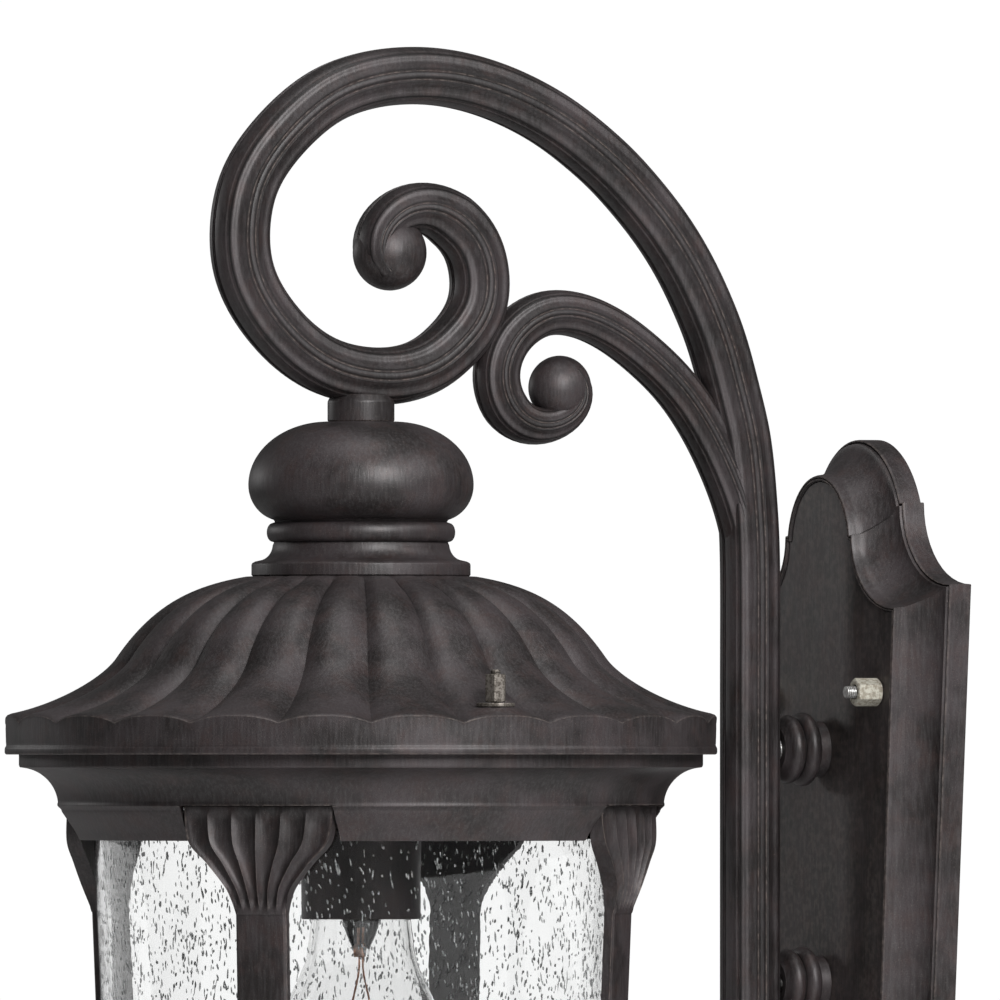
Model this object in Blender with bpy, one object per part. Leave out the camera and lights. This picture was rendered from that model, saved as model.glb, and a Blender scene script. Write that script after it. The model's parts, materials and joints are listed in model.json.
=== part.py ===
"""Outdoor wall lantern: a hollow wall plate, a cast scroll arm, a lobed roof and a glazed cage.

The origin is on the wall, at the centre of the wall strap. +Z is up, +X is to the left of someone
standing with their back to the wall, and the lantern hangs out along -Y. Every size below is in
millimetres; MM turns it into metres where a mesh or a location is made.
"""

import math

import bmesh
import bpy
from mathutils import Vector

MM = 0.001
GAP = 0.3  # clearance between pieces that touch

# Wall plate
PLATE_EDGE = 9.0  # depth of its straight side wall
PLATE_DEPTH = 26.0
PANEL_FACE = PLATE_DEPTH - 1.0  # the flat panel lies just behind the bead round it
PLATE_WALL = 3.3
PLATE_TOP_Z = 98.2
PLATE_BOTTOM_Z = -233.0
ARCH_HALF = 38.6  # half-width of the arch at its foot
ARCH_FOOT_Z = PLATE_TOP_Z - 24.7
SHOULDER_Z = ARCH_FOOT_Z - 31.9
LOW_ARCH_HALF = 30.0
LOW_FOOT_Z = PLATE_BOTTOM_Z + 28.0
LOW_SHOULDER_Z = LOW_FOOT_Z + 30.0
PLATE_TOP_HALF = 83.8  # half-width at the upper shoulder
PLATE_LOW_HALF = 64.6  # half-width at the lower shoulder
PLATE_MOULDING = 17.6  # width of the moulding round the flat panel

# Wall strap and its fasteners
STRAP_LENGTH = 124.0
STRAP_WIDTH = 22.0
STRAP_THICK = 2.5
STUD_X = 52.8
STUD_R = 2.5
STUD_TIP = 3.8  # how far a stud stands out of its nut
MOUNT_NUT_LENGTH = 10.2
MOUNT_NUT_FLATS = 9.4
MOUNT_NUT_FLANGE_R = 5.4

# Arm
ARM_A = 11.1  # half-thickness in the plane of the scrolls
ARM_B = 12.0  # half-thickness across it
BRANCH_A = 8.7
BRANCH_B = 9.8
SCROLL_BALL_R = 14.6
BRANCH_BALL_R = 12.5
TAIL_BALL_R = 13.6
SADDLE_R = 12.9
BOSS_R = 14.4
BOSS_LENGTH = 18.4
UPPER_BOSS_Z = -22.1
LOWER_BOSS_Z = -113.0
UPRIGHT_Y = -(PANEL_FACE + GAP + BOSS_LENGTH + GAP + ARM_A)  # centre line of the straight upright
NIPPLE_R = 4.8
NIPPLE_BORE_R = 3.4
BOLT_R = 2.9

# Neck
NECK_TOP_Z = 104.1
BALL_R = 43.4
BALL_Z = 80.0
NECK_WAIST_R = 34.0
COLLAR_R = 42.2
COLLAR_Z = 44.8  # underside of the neck casting

# Roof
LOBES = 24
LOBE_STEPS = 3
LOBE_DEPTH = 3.6
BRIM_R = 137.3
BRIM_Z = -10.4
BRIM_CLEARANCE = 17.0  # between the brim and the upright
REACH = ARM_A + BRIM_CLEARANCE + BRIM_R  # from the upright's centre line to the lantern's axis
LANTERN_Y = UPRIGHT_Y - REACH
FLARE = 42.7  # width of the flared foot of the dome
DOME_R = BRIM_R - FLARE
DOME_Z = 13.2
FASCIA_Z = -24.1
FASCIA_WALL = 5.0
ROOF_WALL = 4.0
ROOF_SEAT_Z = -15.7

# Cornice under the roof
BAND_R = BRIM_R - FASCIA_WALL - 0.6
BAND_Z = -29.1
ARRIS_R = BAND_R - 15.1
ARRIS_Z = -44.0
FRIEZE_R = ARRIS_R - 8.0
FRIEZE_Z = -57.0
CORNICE_WALL = 3.4
SHELF_THICK = 4.5
SHELF_INNER_R = FRIEZE_R - 9.1
NOTCH_Z = ARRIS_Z + 0.5  # ceiling of the notches that take the capitals

# Posts
POST_HALF = 10.2
POST_THICK = 4.2
POST_R = FRIEZE_R - 0.8  # outer face at POST_Z
POST_Z = -84.7
CAGE_TAPER = 0.042  # radius lost for each unit of drop
CAPITAL_HALF = 30.4
CAPITAL_R = FRIEZE_R + 4.6
POST_FOOT_Z = -219.0
POST_SCREW_R = 1.6
POST_SCREW_PLACE = FRIEZE_R + 0.4  # radius of the ring of screws that hold the posts

# Glass, pan and finial
CAGE_STEPS = 40  # facets round the cornice, the glass and the pan, which nest
GLASS_R = FRIEZE_R - 5.8  # outer radius at FRIEZE_Z
GLASS_WALL = 3.0
GLASS_FOOT_Z = -206.0
PAN_RIM_R = GLASS_R + 1.2
PAN_WALL = 3.5
FINIAL_TOP_Z = -247.3
FINIAL_BOTTOM_Z = -271.0
FINIAL_SCREW_R = 2.0

# Cage fasteners on the roof
CAGE_STUD_X = BRIM_R - 12.3
CAGE_STUD_R = 2.0
ROOF_PAD_Z = -6.2
WASHER_R = 7.3
WASHER_THICK = 1.5
ROOF_NUT_FLATS = 7.4
ROOF_NUT_HEIGHT = 10.6
ROOF_STUD_TIP = 1.8

# Socket and lamp
SKIRT_R = 23.0
SKIRT_TOP_Z = -6.0
SKIRT_BOTTOM_Z = -87.4
SOCKET_R = 19.5
SOCKET_TOP_Z = -22.0
SOCKET_MOUTH_Z = -62.0
SHELL_R = 14.1
LAMP_BASE_R = 13.2
LAMP_BASE_TOP_Z = -36.0
LAMP_NECK_Z = -62.0
LAMP_TIP_Z = -170.0
LAMP_R = 33.3
LAMP_MAX_Z = -137.0
LEAD_R = 1.1

OUTWARD = (math.pi / 2, 0, 0)  # turns a piece's own +Z away from the wall


# ---------------------------------------------------------------- helpers

def clear_scene():
    for item in list(bpy.data.objects):
        bpy.data.objects.remove(item, do_unlink=True)


def material(name, color, roughness, metallic, alpha=1.0):
    made = bpy.data.materials.new(name)
    made.use_nodes = True
    shader = made.node_tree.nodes["Principled BSDF"]
    shader.inputs["Base Color"].default_value = (*color, 1)
    shader.inputs["Roughness"].default_value = roughness
    shader.inputs["Metallic"].default_value = metallic
    shader.inputs["Alpha"].default_value = alpha
    return made


def place(name, data, finish, at=(0, 0, 0), turn=(0, 0, 0)):
    """An object in the scene, at a point given in millimetres."""
    item = bpy.data.objects.new(name, data)
    bpy.context.scene.collection.objects.link(item)
    item.location = Vector(at) * MM
    item.rotation_euler = turn
    if finish is not None:
        data.materials.append(finish)
    return item


def mesh_from(shape, name, smooth=True):
    """Closes a bmesh into a mesh, with its faces pointing out."""
    bmesh.ops.remove_doubles(shape, verts=shape.verts, dist=1e-7)
    bmesh.ops.recalc_face_normals(shape, faces=shape.faces)
    data = bpy.data.meshes.new(name)
    shape.to_mesh(data)
    shape.free()
    if smooth:
        data.shade_smooth()
        data.set_sharp_from_angle(angle=math.radians(35))
    return data


def turned_mesh(name, profile, steps):
    """Spins (radius, height) points round Z. A profile that stays off the axis is a closed loop."""
    shape = bmesh.new()
    points = [shape.verts.new((radius * MM, 0, height * MM)) for radius, height in profile]
    edges = [shape.edges.new(pair) for pair in zip(points, points[1:])]
    if min(radius for radius, _ in profile) > 0:
        edges.append(shape.edges.new((points[-1], points[0])))
    bmesh.ops.spin(
        shape, geom=points + edges, axis=(0, 0, 1), cent=(0, 0, 0), angle=math.tau, steps=steps,
        use_merge=True,
    )
    return mesh_from(shape, name)


def turned(name, profile, finish, at=(0, 0, 0), turn=(0, 0, 0), steps=24):
    return place(name, turned_mesh(name, profile, steps), finish, at, turn)


def loft_mesh(name, rings, loop=False, smooth=True):
    """Skins rings of points, all of one length. With loop, the last ring joins the first."""
    shape = bmesh.new()
    rows = [[shape.verts.new(Vector(point) * MM) for point in ring] for ring in rings]
    pairs = list(zip(rows, rows[1:]))
    if loop:
        pairs.append((rows[-1], rows[0]))
    for low, high in pairs:
        for i in range(len(low)):
            j = (i + 1) % len(low)
            shape.faces.new((low[i], low[j], high[j], high[i]))
    if not loop:
        shape.faces.new(rows[0])
        shape.faces.new(rows[-1])
    return mesh_from(shape, name, smooth)


def prism(name, outline, low, high, finish, at=(0, 0, 0), turn=(0, 0, 0)):
    """A straight solid on an outline of (x, y) points."""
    rings = [[(x, y, z) for x, y in outline] for z in (low, high)]
    return place(name, loft_mesh(name, rings, smooth=False), finish, at, turn)


def ngon(radius, count, start=0.0):
    angles = [start + math.tau * i / count for i in range(count)]
    return [(radius * math.cos(angle), radius * math.sin(angle)) for angle in angles]


def join(item, other, operation):
    """Adds or cuts with a helper object, which isn't a piece of the lantern."""
    other.hide_render = True
    other.display_type = "WIRE"
    step = item.modifiers.new(f"{operation.lower()}_{other.name}", "BOOLEAN")
    step.operation = operation
    step.object = other
    step.solver = "EXACT"


def bore(item, radius, length, at, turn=(0, 0, 0), steps=16):
    """Cuts a round hole that starts at a point and runs along its own +Z."""
    name = f"{item.name}_bore_{len(item.modifiers)}"
    join(item, prism(name, ngon(radius, steps, 0.1), 0, length, None, at, turn), "DIFFERENCE")


def wire(name, points, radius, finish, at=(0, 0, 0), rounds=5):
    """A round wire along a smooth line through its points."""
    path = smooth_line([Vector(point) for point in points], rounds)
    data = bpy.data.curves.new(name, "CURVE")
    data.dimensions = "3D"
    data.bevel_depth = radius * MM
    data.bevel_resolution = 2
    data.use_fill_caps = True
    line = data.splines.new("POLY")
    line.points.add(len(path) - 1)
    for point, target in zip(path, line.points):
        target.co = (*(point * MM), 1)
    return place(name, data, finish, at)


def smooth_line(points, rounds):
    """Catmull-Rom points through the given ones, with the same number in each span."""
    path = []
    last = len(points) - 1
    for i in range(last):
        before, start = points[max(i - 1, 0)], points[i]
        end, after = points[i + 1], points[min(i + 2, last)]
        for k in range(rounds):
            t = k / rounds
            path.append(0.5 * (
                2 * start + (end - before) * t
                + (2 * before - 5 * start + 4 * end - after) * t ** 2
                + (3 * start - before - 3 * end + after) * t ** 3
            ))
    path.append(points[-1])
    return path


def bezier(start, pull, push, end, count):
    """Points on a cubic Bezier, from its start to its end."""
    path = []
    for i in range(count + 1):
        t = i / count
        weights = ((1 - t) ** 3, 3 * t * (1 - t) ** 2, 3 * t ** 2 * (1 - t), t ** 3)
        corners = (start, pull, push, end)
        path.append(tuple(sum(w * c[axis] for w, c in zip(weights, corners)) for axis in (0, 1)))
    return path


def arc(center, radii, first, last, count):
    """Points on an ellipse from one angle to another, in degrees."""
    angles = [math.radians(first + (last - first) * i / count) for i in range(count + 1)]
    return [(center[0] + radii[0] * math.cos(a), center[1] + radii[1] * math.sin(a)) for a in angles]


def hex_nut(name, flats, height, hole_r, finish, at, turn=(0, 0, 0), flange_r=0.0):
    """A hexagonal nut standing on its own Z, with a round hole and, if asked, a thin round flange."""
    item = prism(name, ngon(flats / math.sqrt(3), 6), 0, height, finish, at, turn)
    if flange_r:
        flange = prism(f"{name}_flange", ngon(flange_r, 20), 0, 1.2, None, at, turn)
        join(item, flange, "UNION")
    axis = Vector((0, 0, 1)) if not any(turn) else Vector((0, -1, 0))
    bore(item, hole_r, height + 2, Vector(at) - axis, turn)
    return item


def pan_screw(name, head_r, head_height, shank_r, length, finish, at, turn=(0, 0, 0)):
    """A round-headed screw. Its head stands on +Z from the point and its shank runs along -Z."""
    dome = arc((0, 0), (head_r, head_height), 0, 90, 3)
    profile = [(0, -length), (shank_r, -length), (shank_r, 0)] + dome[:-1] + [(0, head_height)]
    return turned(name, profile, finish, at, turn, steps=12)


# ---------------------------------------------------------------- wall plate

def plate_half(top, foot, step, shoulder, low_shoulder, low_foot, bottom):
    """Right half of a plate outline: arch, notch, cavetto, tapered side and the same again below."""
    def arch(crown, foot_point, side):
        rise = abs(crown - foot_point[1])
        radius = (foot_point[0] ** 2 + rise ** 2) / (2 * rise)
        reach = math.degrees(math.asin(min(foot_point[0] / radius, 1)))
        if rise > radius:
            reach = 180 - reach
        center = crown - side * radius
        return arc((0, center), (radius, radius), side * 90, side * (90 - reach), 4)

    upper = arch(top, foot, 1)
    cavetto = arc(
        (shoulder[0], foot[1]), (shoulder[0] - foot[0] - step, foot[1] - shoulder[1]), 180, 270, 4
    )
    low_cavetto = arc(
        (low_shoulder[0], low_foot[1]),
        (low_shoulder[0] - low_foot[0] - step, low_shoulder[1] - low_foot[1]), 90, 180, 4,
    )
    lower = arch(bottom, low_foot, -1)[::-1]
    return upper + cavetto + low_cavetto + lower


def mirrored(half):
    return half + [(-x, z) for x, z in half[-2:0:-1]]


def plate_outlines():
    outer = plate_half(
        PLATE_TOP_Z, (ARCH_HALF, ARCH_FOOT_Z), 2.8, (PLATE_TOP_HALF, SHOULDER_Z),
        (PLATE_LOW_HALF, LOW_SHOULDER_Z), (LOW_ARCH_HALF, LOW_FOOT_Z), PLATE_BOTTOM_Z,
    )
    inner = plate_half(
        PLATE_TOP_Z - PLATE_MOULDING * 0.94, (ARCH_HALF - PLATE_MOULDING * 0.716, ARCH_FOOT_Z - 15.0), 2.0,
        (PLATE_TOP_HALF - PLATE_MOULDING * 1.03, SHOULDER_Z - 10.8),
        (PLATE_LOW_HALF - PLATE_MOULDING * 0.7, LOW_SHOULDER_Z + 9.0),
        (LOW_ARCH_HALF - PLATE_MOULDING * 0.568, LOW_FOOT_Z + 12.5), PLATE_BOTTOM_Z + PLATE_MOULDING * 0.94,
    )
    return mirrored(outer), mirrored(inner)


def shrunk(outline, wall):
    """The outline moved in by about one wall, kept in its own proportions."""
    width = max(x for x, _ in outline)
    tops = [z for _, z in outline]
    middle, half = (max(tops) + min(tops)) / 2, (max(tops) - min(tops)) / 2
    return [(x * (1 - wall / width), middle + (z - middle) * (1 - wall / half)) for x, z in outline]


def build_backplate(finish):
    outer, panel = plate_outlines()

    def ring(share, depth, wall=0.0):
        mixed = [
            (a[0] + (b[0] - a[0]) * share, a[1] + (b[1] - a[1]) * share) for a, b in zip(outer, panel)
        ]
        if wall:
            mixed = shrunk(mixed, wall)
        return [(x, -depth, z) for x, z in mixed]

    rings = [ring(0, 0, PLATE_WALL), ring(0, PLATE_EDGE - 1, PLATE_WALL)]
    rings = [ring(1, PLATE_DEPTH - PLATE_WALL, PLATE_WALL)] + rings[::-1]
    rings += [ring(0, 0), ring(0, PLATE_EDGE), ring(0.1, PLATE_EDGE + 1)]
    rings += [ring(0.45, 13.5), ring(0.8, 21.5), ring(0.86, PLATE_DEPTH), ring(0.96, PLATE_DEPTH)]
    rings += [ring(1, PLATE_DEPTH - 1.0)]
    plate = place("backplate", loft_mesh("backplate", rings), finish)
    for side in (-1, 1):
        bore(plate, STUD_R + 0.5, PLATE_DEPTH, (side * STUD_X, -10, 0), OUTWARD)
    for height, radius in ((UPPER_BOSS_Z, NIPPLE_R), (LOWER_BOSS_Z, BOLT_R)):
        bore(plate, radius + GAP, PLATE_DEPTH, (0, -10, height), OUTWARD)


def build_strap(steel, brass, green):
    """The strap that goes on the junction box, with its two studs and the ground screw."""
    half, thick = STRAP_LENGTH / 2, STRAP_THICK
    low, high = -STRAP_WIDTH / 2, STRAP_WIDTH / 2
    corners = [(-half, low), (half, low), (half, high), (-half, high)]
    strap = prism("wall_strap", corners, 0, thick, steel, turn=OUTWARD)
    ground_x = 16.0
    bore(strap, BOLT_R - 0.7, thick + 4, (ground_x, 2, 0), OUTWARD)
    for side, word in ((-1, "left"), (1, "right")):
        middle = side * 35.5
        slot = arc((middle + 4.5, 0), (2.4, 2.4), -90, 90, 6) + arc((middle - 4.5, 0), (2.4, 2.4), 90, 270, 6)
        join(strap, prism(f"strap_slot_{word}", slot, -2, thick + 2, None, turn=OUTWARD), "DIFFERENCE")
        bore(strap, STUD_R + GAP, thick + 4, (side * STUD_X, 2, 0), OUTWARD)
        nut_top = PANEL_FACE + GAP + MOUNT_NUT_LENGTH
        tip = nut_top + STUD_TIP
        stud = [(0, 0.2), (STUD_R, 0.2), (STUD_R, tip - 0.8), (STUD_R - 0.7, tip), (0, tip)]
        turned(f"strap_stud_{word}", stud, steel, (side * STUD_X, 0, 0), OUTWARD, steps=12)
        hex_nut(
            f"stud_locknut_{word}", 8.0, 3.2, STUD_R + GAP, steel, (side * STUD_X, -thick - GAP, 0), OUTWARD
        )
        hex_nut(
            f"mounting_nut_{word}", MOUNT_NUT_FLATS, MOUNT_NUT_LENGTH, STUD_R + GAP, brass,
            (side * STUD_X, -PANEL_FACE - GAP, 0), OUTWARD, MOUNT_NUT_FLANGE_R,
        )
    seat = (ground_x, -thick - GAP, 0)
    pan_screw("ground_screw", 4.2, 2.4, BOLT_R - 1.0, thick + 0.2, green, seat, OUTWARD)


# ---------------------------------------------------------------- arm

def sweep_mesh(name, path, half_in, half_across, ease, sides=10):
    """A rounded bar along a line, drawn in over its last stretch, where it goes into its ball."""
    rings = []
    left = sum((b - a).length for a, b in zip(path, path[1:]))
    for i, point in enumerate(path):
        if i:
            left -= (point - path[i - 1]).length
        size = min(1, 0.4 + 0.6 * left / ease)
        along = path[min(i + 1, len(path) - 1)] - path[max(i - 1, 0)]
        along.normalize()
        normal = Vector((0, -along.z, along.y))
        ring = []
        for k in range(sides):
            angle = math.tau * (k + 0.5) / sides
            c, s = math.cos(angle), math.sin(angle)
            a = math.copysign(abs(c) ** 0.85, c) * half_in * size
            b = math.copysign(abs(s) ** 0.85, s) * half_across * size
            ring.append(point + normal * a + Vector((b, 0, 0)))
        rings.append(ring)
    return loft_mesh(name, rings)


def thinned(path, turn=0.2, longest=60.0):
    """Leaves out points where the line hardly turns."""
    kept = [path[0]]
    heading = path[1] - path[0]
    for before, point in zip(path[1:], path[2:]):
        step = point - before
        if heading.angle(step) > turn or (before - kept[-1]).length > longest:
            kept.append(before)
            heading = step
    return kept + [path[-1]]


# Centre lines of the scrolls, as distances out from the upright and heights, drawn for this reach
DRAWN_REACH = 165.4
SCROLL = [
    (0.0, -156.0), (0.0, -118.0), (0.0, -3.0), (0.0, 50.8), (1.2, 73.9), (3.6, 97.0), (7.4, 112.4),
    (14.1, 135.5), (20.7, 150.9), (28.9, 166.3), (39.7, 181.7), (53.7, 197.1), (64.3, 206.7), (81.2, 219.1),
    (98.1, 227.9), (115.0, 233.9), (132.0, 237.2), (148.9, 237.5), (165.8, 234.9), (182.7, 228.3),
    (199.7, 214.2), (212.4, 197.1), (216.6, 177.9), (214.7, 160.5), (207.3, 147.1), (194.6, 133.6),
    (178.5, 124.4), (158.2, 121.3), (140.4, 124.4), (126.9, 133.6), (117.6, 145.0), (114.8, 157.5),
    (117.6, 171.4), (125.6, 181.0), (137.4, 186.2), (149.4, 184.6), (155.4, 176.0),
]
SADDLE_POINT = 27  # the lowest point of the big scroll, over the neck
SCROLL_BALL = (153.3, 169.2)
TAIL_BALL = (0.0, -160.0)
BRANCH = [
    (0.5, 35.4), (2.1, 58.5), (6.3, 73.9), (12.9, 89.3), (21.5, 104.7), (33.4, 120.1),
    (52.0, 135.5), (64.3, 142.6), (72.7, 145.7), (81.2, 147.1), (90.9, 146.0), (102.7, 137.8),
    (108.5, 125.5), (107.1, 113.6), (100.7, 105.4), (90.9, 102.6), (81.9, 106.0), (78.4, 113.0),
]
BRANCH_BALL = (81.2, 117.6)


def arm_point(drawn):
    """A drawn point of the arm, stretched to the reach that the arm has."""
    out, height = drawn
    return Vector((0, UPRIGHT_Y - out * REACH / DRAWN_REACH, height))


def build_arm(finish):
    def line(points):
        return thinned(smooth_line([arm_point(point) for point in points], 5))

    arm = place("scroll_arm", sweep_mesh("scroll_arm", line(SCROLL), ARM_A, ARM_B, 26.0), finish)
    branch = sweep_mesh("arm_branch", line(BRANCH), BRANCH_A, BRANCH_B, 20.0)
    join(arm, place("arm_branch", branch, None), "UNION")
    balls = ((SCROLL_BALL, SCROLL_BALL_R), (BRANCH_BALL, BRANCH_BALL_R), (TAIL_BALL, TAIL_BALL_R))
    for number, (center, radius) in enumerate(balls):
        round_end = [(0, -radius)] + arc((0, 0), (radius, radius), -67.5, 67.5, 6) + [(0, radius)]
        ball = turned(f"arm_ball_{number}", round_end, None, arm_point(center), (0, math.pi / 2, 0), steps=16)
        join(arm, ball, "UNION")
    saddle_low, saddle_high = NECK_TOP_Z + GAP, SCROLL[SADDLE_POINT][1] - ARM_A * 0.55
    profile = [(0, saddle_low), (SADDLE_R, saddle_low), (SADDLE_R, saddle_high - 4)]
    profile += [(SADDLE_R - 2, saddle_high), (0, saddle_high)]
    join(arm, turned("arm_saddle", profile, None, (0, LANTERN_Y, 0)), "UNION")
    bore(arm, NIPPLE_R + GAP, 16, (0, LANTERN_Y, saddle_low - 4))
    back = UPRIGHT_Y + ARM_A
    for height, radius in ((UPPER_BOSS_Z, NIPPLE_R), (LOWER_BOSS_Z, BOLT_R)):
        bore(arm, radius + GAP, 18, (0, back + 3, height), OUTWARD)


def build_arm_fixings(dark, steel):
    """Two turned bosses between the plate and the upright, and what holds them."""
    length = BOSS_LENGTH
    rings = arc((BOSS_R - 4.4, length * 0.25), (4.4, length * 0.24), -75, 60, 4)
    rings += arc((BOSS_R - 5.2, length * 0.663), (3.6, length * 0.207), -60, 75, 3)
    hole = NIPPLE_R + GAP
    for word, height in (("upper", UPPER_BOSS_Z), ("lower", LOWER_BOSS_Z)):
        profile = [(hole, length), (hole, 0), (BOSS_R - 4, 0)] + rings + [(8.4, length)]
        turned(f"arm_boss_{word}", profile[::-1], dark, (0, -PANEL_FACE - GAP, height), OUTWARD, steps=16)
    inner_face = PLATE_DEPTH - PLATE_WALL
    depth_in_arm = -UPRIGHT_Y
    tube = [(NIPPLE_R, 13.0), (NIPPLE_R, depth_in_arm), (NIPPLE_BORE_R, depth_in_arm), (NIPPLE_BORE_R, 13.0)]
    turned("arm_nipple", tube, steel, (0, 0, UPPER_BOSS_Z), OUTWARD, steps=16)
    hex_nut(
        "arm_nipple_nut", 14.0, 4.0, NIPPLE_R + GAP, steel, (0, 4.0 + GAP - inner_face, UPPER_BOSS_Z), OUTWARD
    )
    seat, low = (0, 0, LOWER_BOSS_Z), inner_face - GAP - 4.0
    bolt = prism("arm_bolt", ngon(10.0 / math.sqrt(3), 6), low, inner_face - GAP, steel, seat, OUTWARD)
    shank = prism("arm_bolt_shank", ngon(BOLT_R, 16), low + 2.0, depth_in_arm, None, seat, OUTWARD)
    join(bolt, shank, "UNION")


# ---------------------------------------------------------------- neck and roof

def build_neck(dark, steel):
    bulb = arc((12.9, BALL_Z), (BALL_R - 12.9, NECK_TOP_Z - BALL_Z), 90, 0, 5)
    under = arc((30.0, BALL_Z), (BALL_R - 30.0, 14.0), -22, -73, 3)
    bead = arc((NECK_WAIST_R, 61.2), (2.2, 4.4), 70, -70, 3)
    cove = arc((COLLAR_R - 2.6, 57.0), (COLLAR_R - 2.6 - NECK_WAIST_R + 0.4, 6.2), 185, 250, 3)
    collar = [(COLLAR_R - 1.2, 49.4), (COLLAR_R, 48.2), (COLLAR_R, COLLAR_Z)]
    hole = NIPPLE_R + GAP
    profile = [(hole, NECK_TOP_Z)] + bulb + under + bead + cove + collar + [(hole, COLLAR_Z)]
    turned("neck_vase", profile, dark, (0, LANTERN_Y, 0), steps=24)
    low, high = SOCKET_TOP_Z + 8.0, NECK_TOP_Z + 12.0
    tube = [(NIPPLE_R, low), (NIPPLE_R, high), (NIPPLE_BORE_R, high), (NIPPLE_BORE_R, low)]
    turned("hanger_nipple", tube[::-1], steel, (0, LANTERN_Y, 0), steps=16)
    under_roof = COLLAR_Z - GAP - ROOF_WALL
    hex_nut("roof_locknut", 14.0, 4.0, NIPPLE_R + GAP, steel, (0, LANTERN_Y, under_roof - GAP - 4.0))


def roof_crest():
    """Outline of the roof along the middle of a lobe, from the collar to the brim."""
    waist = (DOME_R, DOME_Z)
    start = (COLLAR_R - 0.2, COLLAR_Z)
    dome = bezier(start, (COLLAR_R + 22.8, COLLAR_Z - 3.4), (DOME_R - 14.2, DOME_Z + 20.7), waist, 3)
    flare = bezier(waist, (DOME_R + 5.6, DOME_Z - 8.2), (BRIM_R - 17.8, BRIM_Z + 3.1), (BRIM_R, BRIM_Z), 3)
    return dome + flare[1:]


def offset(outline, distance):
    """An outline of (radius, height) points moved square to itself, inwards and down."""
    moved = []
    for i, (radius, height) in enumerate(outline):
        ahead, behind = outline[min(i + 1, len(outline) - 1)], outline[max(i - 1, 0)]
        run, fall = ahead[0] - behind[0], ahead[1] - behind[1]
        length = math.hypot(run, fall)
        moved.append((radius + fall / length * distance, height - run / length * distance))
    return moved


def build_roof(finish):
    crest = roof_crest()
    valley = offset(crest, LOBE_DEPTH)
    top = COLLAR_Z - GAP
    around = LOBES * LOBE_STEPS

    def ring(crest_point, valley_point=None):
        valley_point = valley_point or crest_point
        points = []
        for i in range(around):
            share = (2 * (i % LOBE_STEPS) / LOBE_STEPS - 1) ** 2
            radius = crest_point[0] + (valley_point[0] - crest_point[0]) * share
            height = crest_point[1] + (valley_point[1] - crest_point[1]) * share
            angle = math.tau * (i / LOBE_STEPS - 0.5) / LOBES
            points.append((radius * math.cos(angle), radius * math.sin(angle), height))
        return points

    hole = NIPPLE_R + GAP
    rings = [ring((hole, top)), ring((COLLAR_R - 1.0, top))]
    for i, (high, low) in enumerate(zip(crest, valley)):
        grown = min(i / 2, 1)  # the lobes rise out of the collar over the first steps
        depth = (high[0] + (low[0] - high[0]) * grown, high[1] + (low[1] - high[1]) * grown)
        if i == len(crest) - 1:
            depth = (BRIM_R, low[1])
        rings.append(ring((high[0], min(high[1], top)), (depth[0], min(depth[1], top - 0.4))))
    rings += [ring((BRIM_R, FASCIA_Z)), ring((BRIM_R - FASCIA_WALL, FASCIA_Z))]
    rings += [ring((BRIM_R - FASCIA_WALL, ROOF_SEAT_Z)), ring((CAGE_STUD_X - 6.7, ROOF_SEAT_Z))]
    inside = offset(crest, LOBE_DEPTH + ROOF_WALL)
    rings += [ring(inside[i]) for i in (5, 3, 1)]
    rings += [ring((COLLAR_R - 8, top - ROOF_WALL)), ring((hole, top - ROOF_WALL))]
    roof = place("roof", loft_mesh("roof", rings, loop=True), finish, (0, LANTERN_Y, 0))
    for side in (-1, 1):
        seat = (side * CAGE_STUD_X, LANTERN_Y, 0)
        pad_name = "left" if side < 0 else "right"
        round_pad = ngon(WASHER_R + 0.5, 20)
        pad = prism(f"roof_pad_{pad_name}", round_pad, ROOF_SEAT_Z + 2, ROOF_PAD_Z + 1, None, seat)
        join(roof, pad, "UNION")
        face = prism(f"roof_face_{pad_name}", ngon(WASHER_R + 0.7, 20, 0.1), ROOF_PAD_Z, 4, None, seat)
        join(roof, face, "DIFFERENCE")
        bore(roof, CAGE_STUD_R + GAP, 30, (side * CAGE_STUD_X, LANTERN_Y, -20), steps=12)


def build_roof_fixings(dark, steel):
    """Two studs from the cornice through the brim, each with a washer and a tall nut on top."""
    washer_low = ROOF_PAD_Z + GAP
    nut_low = washer_low + WASHER_THICK + GAP
    for side, word in ((-1, "left"), (1, "right")):
        seat = (side * CAGE_STUD_X, LANTERN_Y, 0)
        hole = CAGE_STUD_R + GAP
        washer_top = washer_low + WASHER_THICK
        ring = [(hole, washer_low), (WASHER_R, washer_low), (WASHER_R, washer_top), (hole, washer_top)]
        turned(f"roof_washer_{word}", ring, steel, seat, steps=20)
        nut = (seat[0], seat[1], nut_low)
        hex_nut(f"roof_nut_{word}", ROOF_NUT_FLATS, ROOF_NUT_HEIGHT, hole, steel, nut)
        head_low = ROOF_SEAT_Z - GAP - CORNICE_WALL - GAP - 2.2
        tip = nut_low + ROOF_NUT_HEIGHT + ROOF_STUD_TIP
        stud = [(0, head_low), (2.4, head_low), (3.3, head_low + 0.9), (3.3, head_low + 2.2),
                (CAGE_STUD_R, head_low + 2.2), (CAGE_STUD_R, tip - 0.5), (CAGE_STUD_R - 0.5, tip), (0, tip)]
        turned(f"cage_stud_{word}", stud, dark, seat, steps=12)


# ---------------------------------------------------------------- cage

def cage_radius(radius, at, height):
    """A radius given at one height, carried along the taper of the cage to another."""
    return radius + CAGE_TAPER * (height - at)


def diagonal(number):
    """Angle of a post, on the corners between the four sides."""
    return math.radians(45 + 90 * number)


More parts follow.
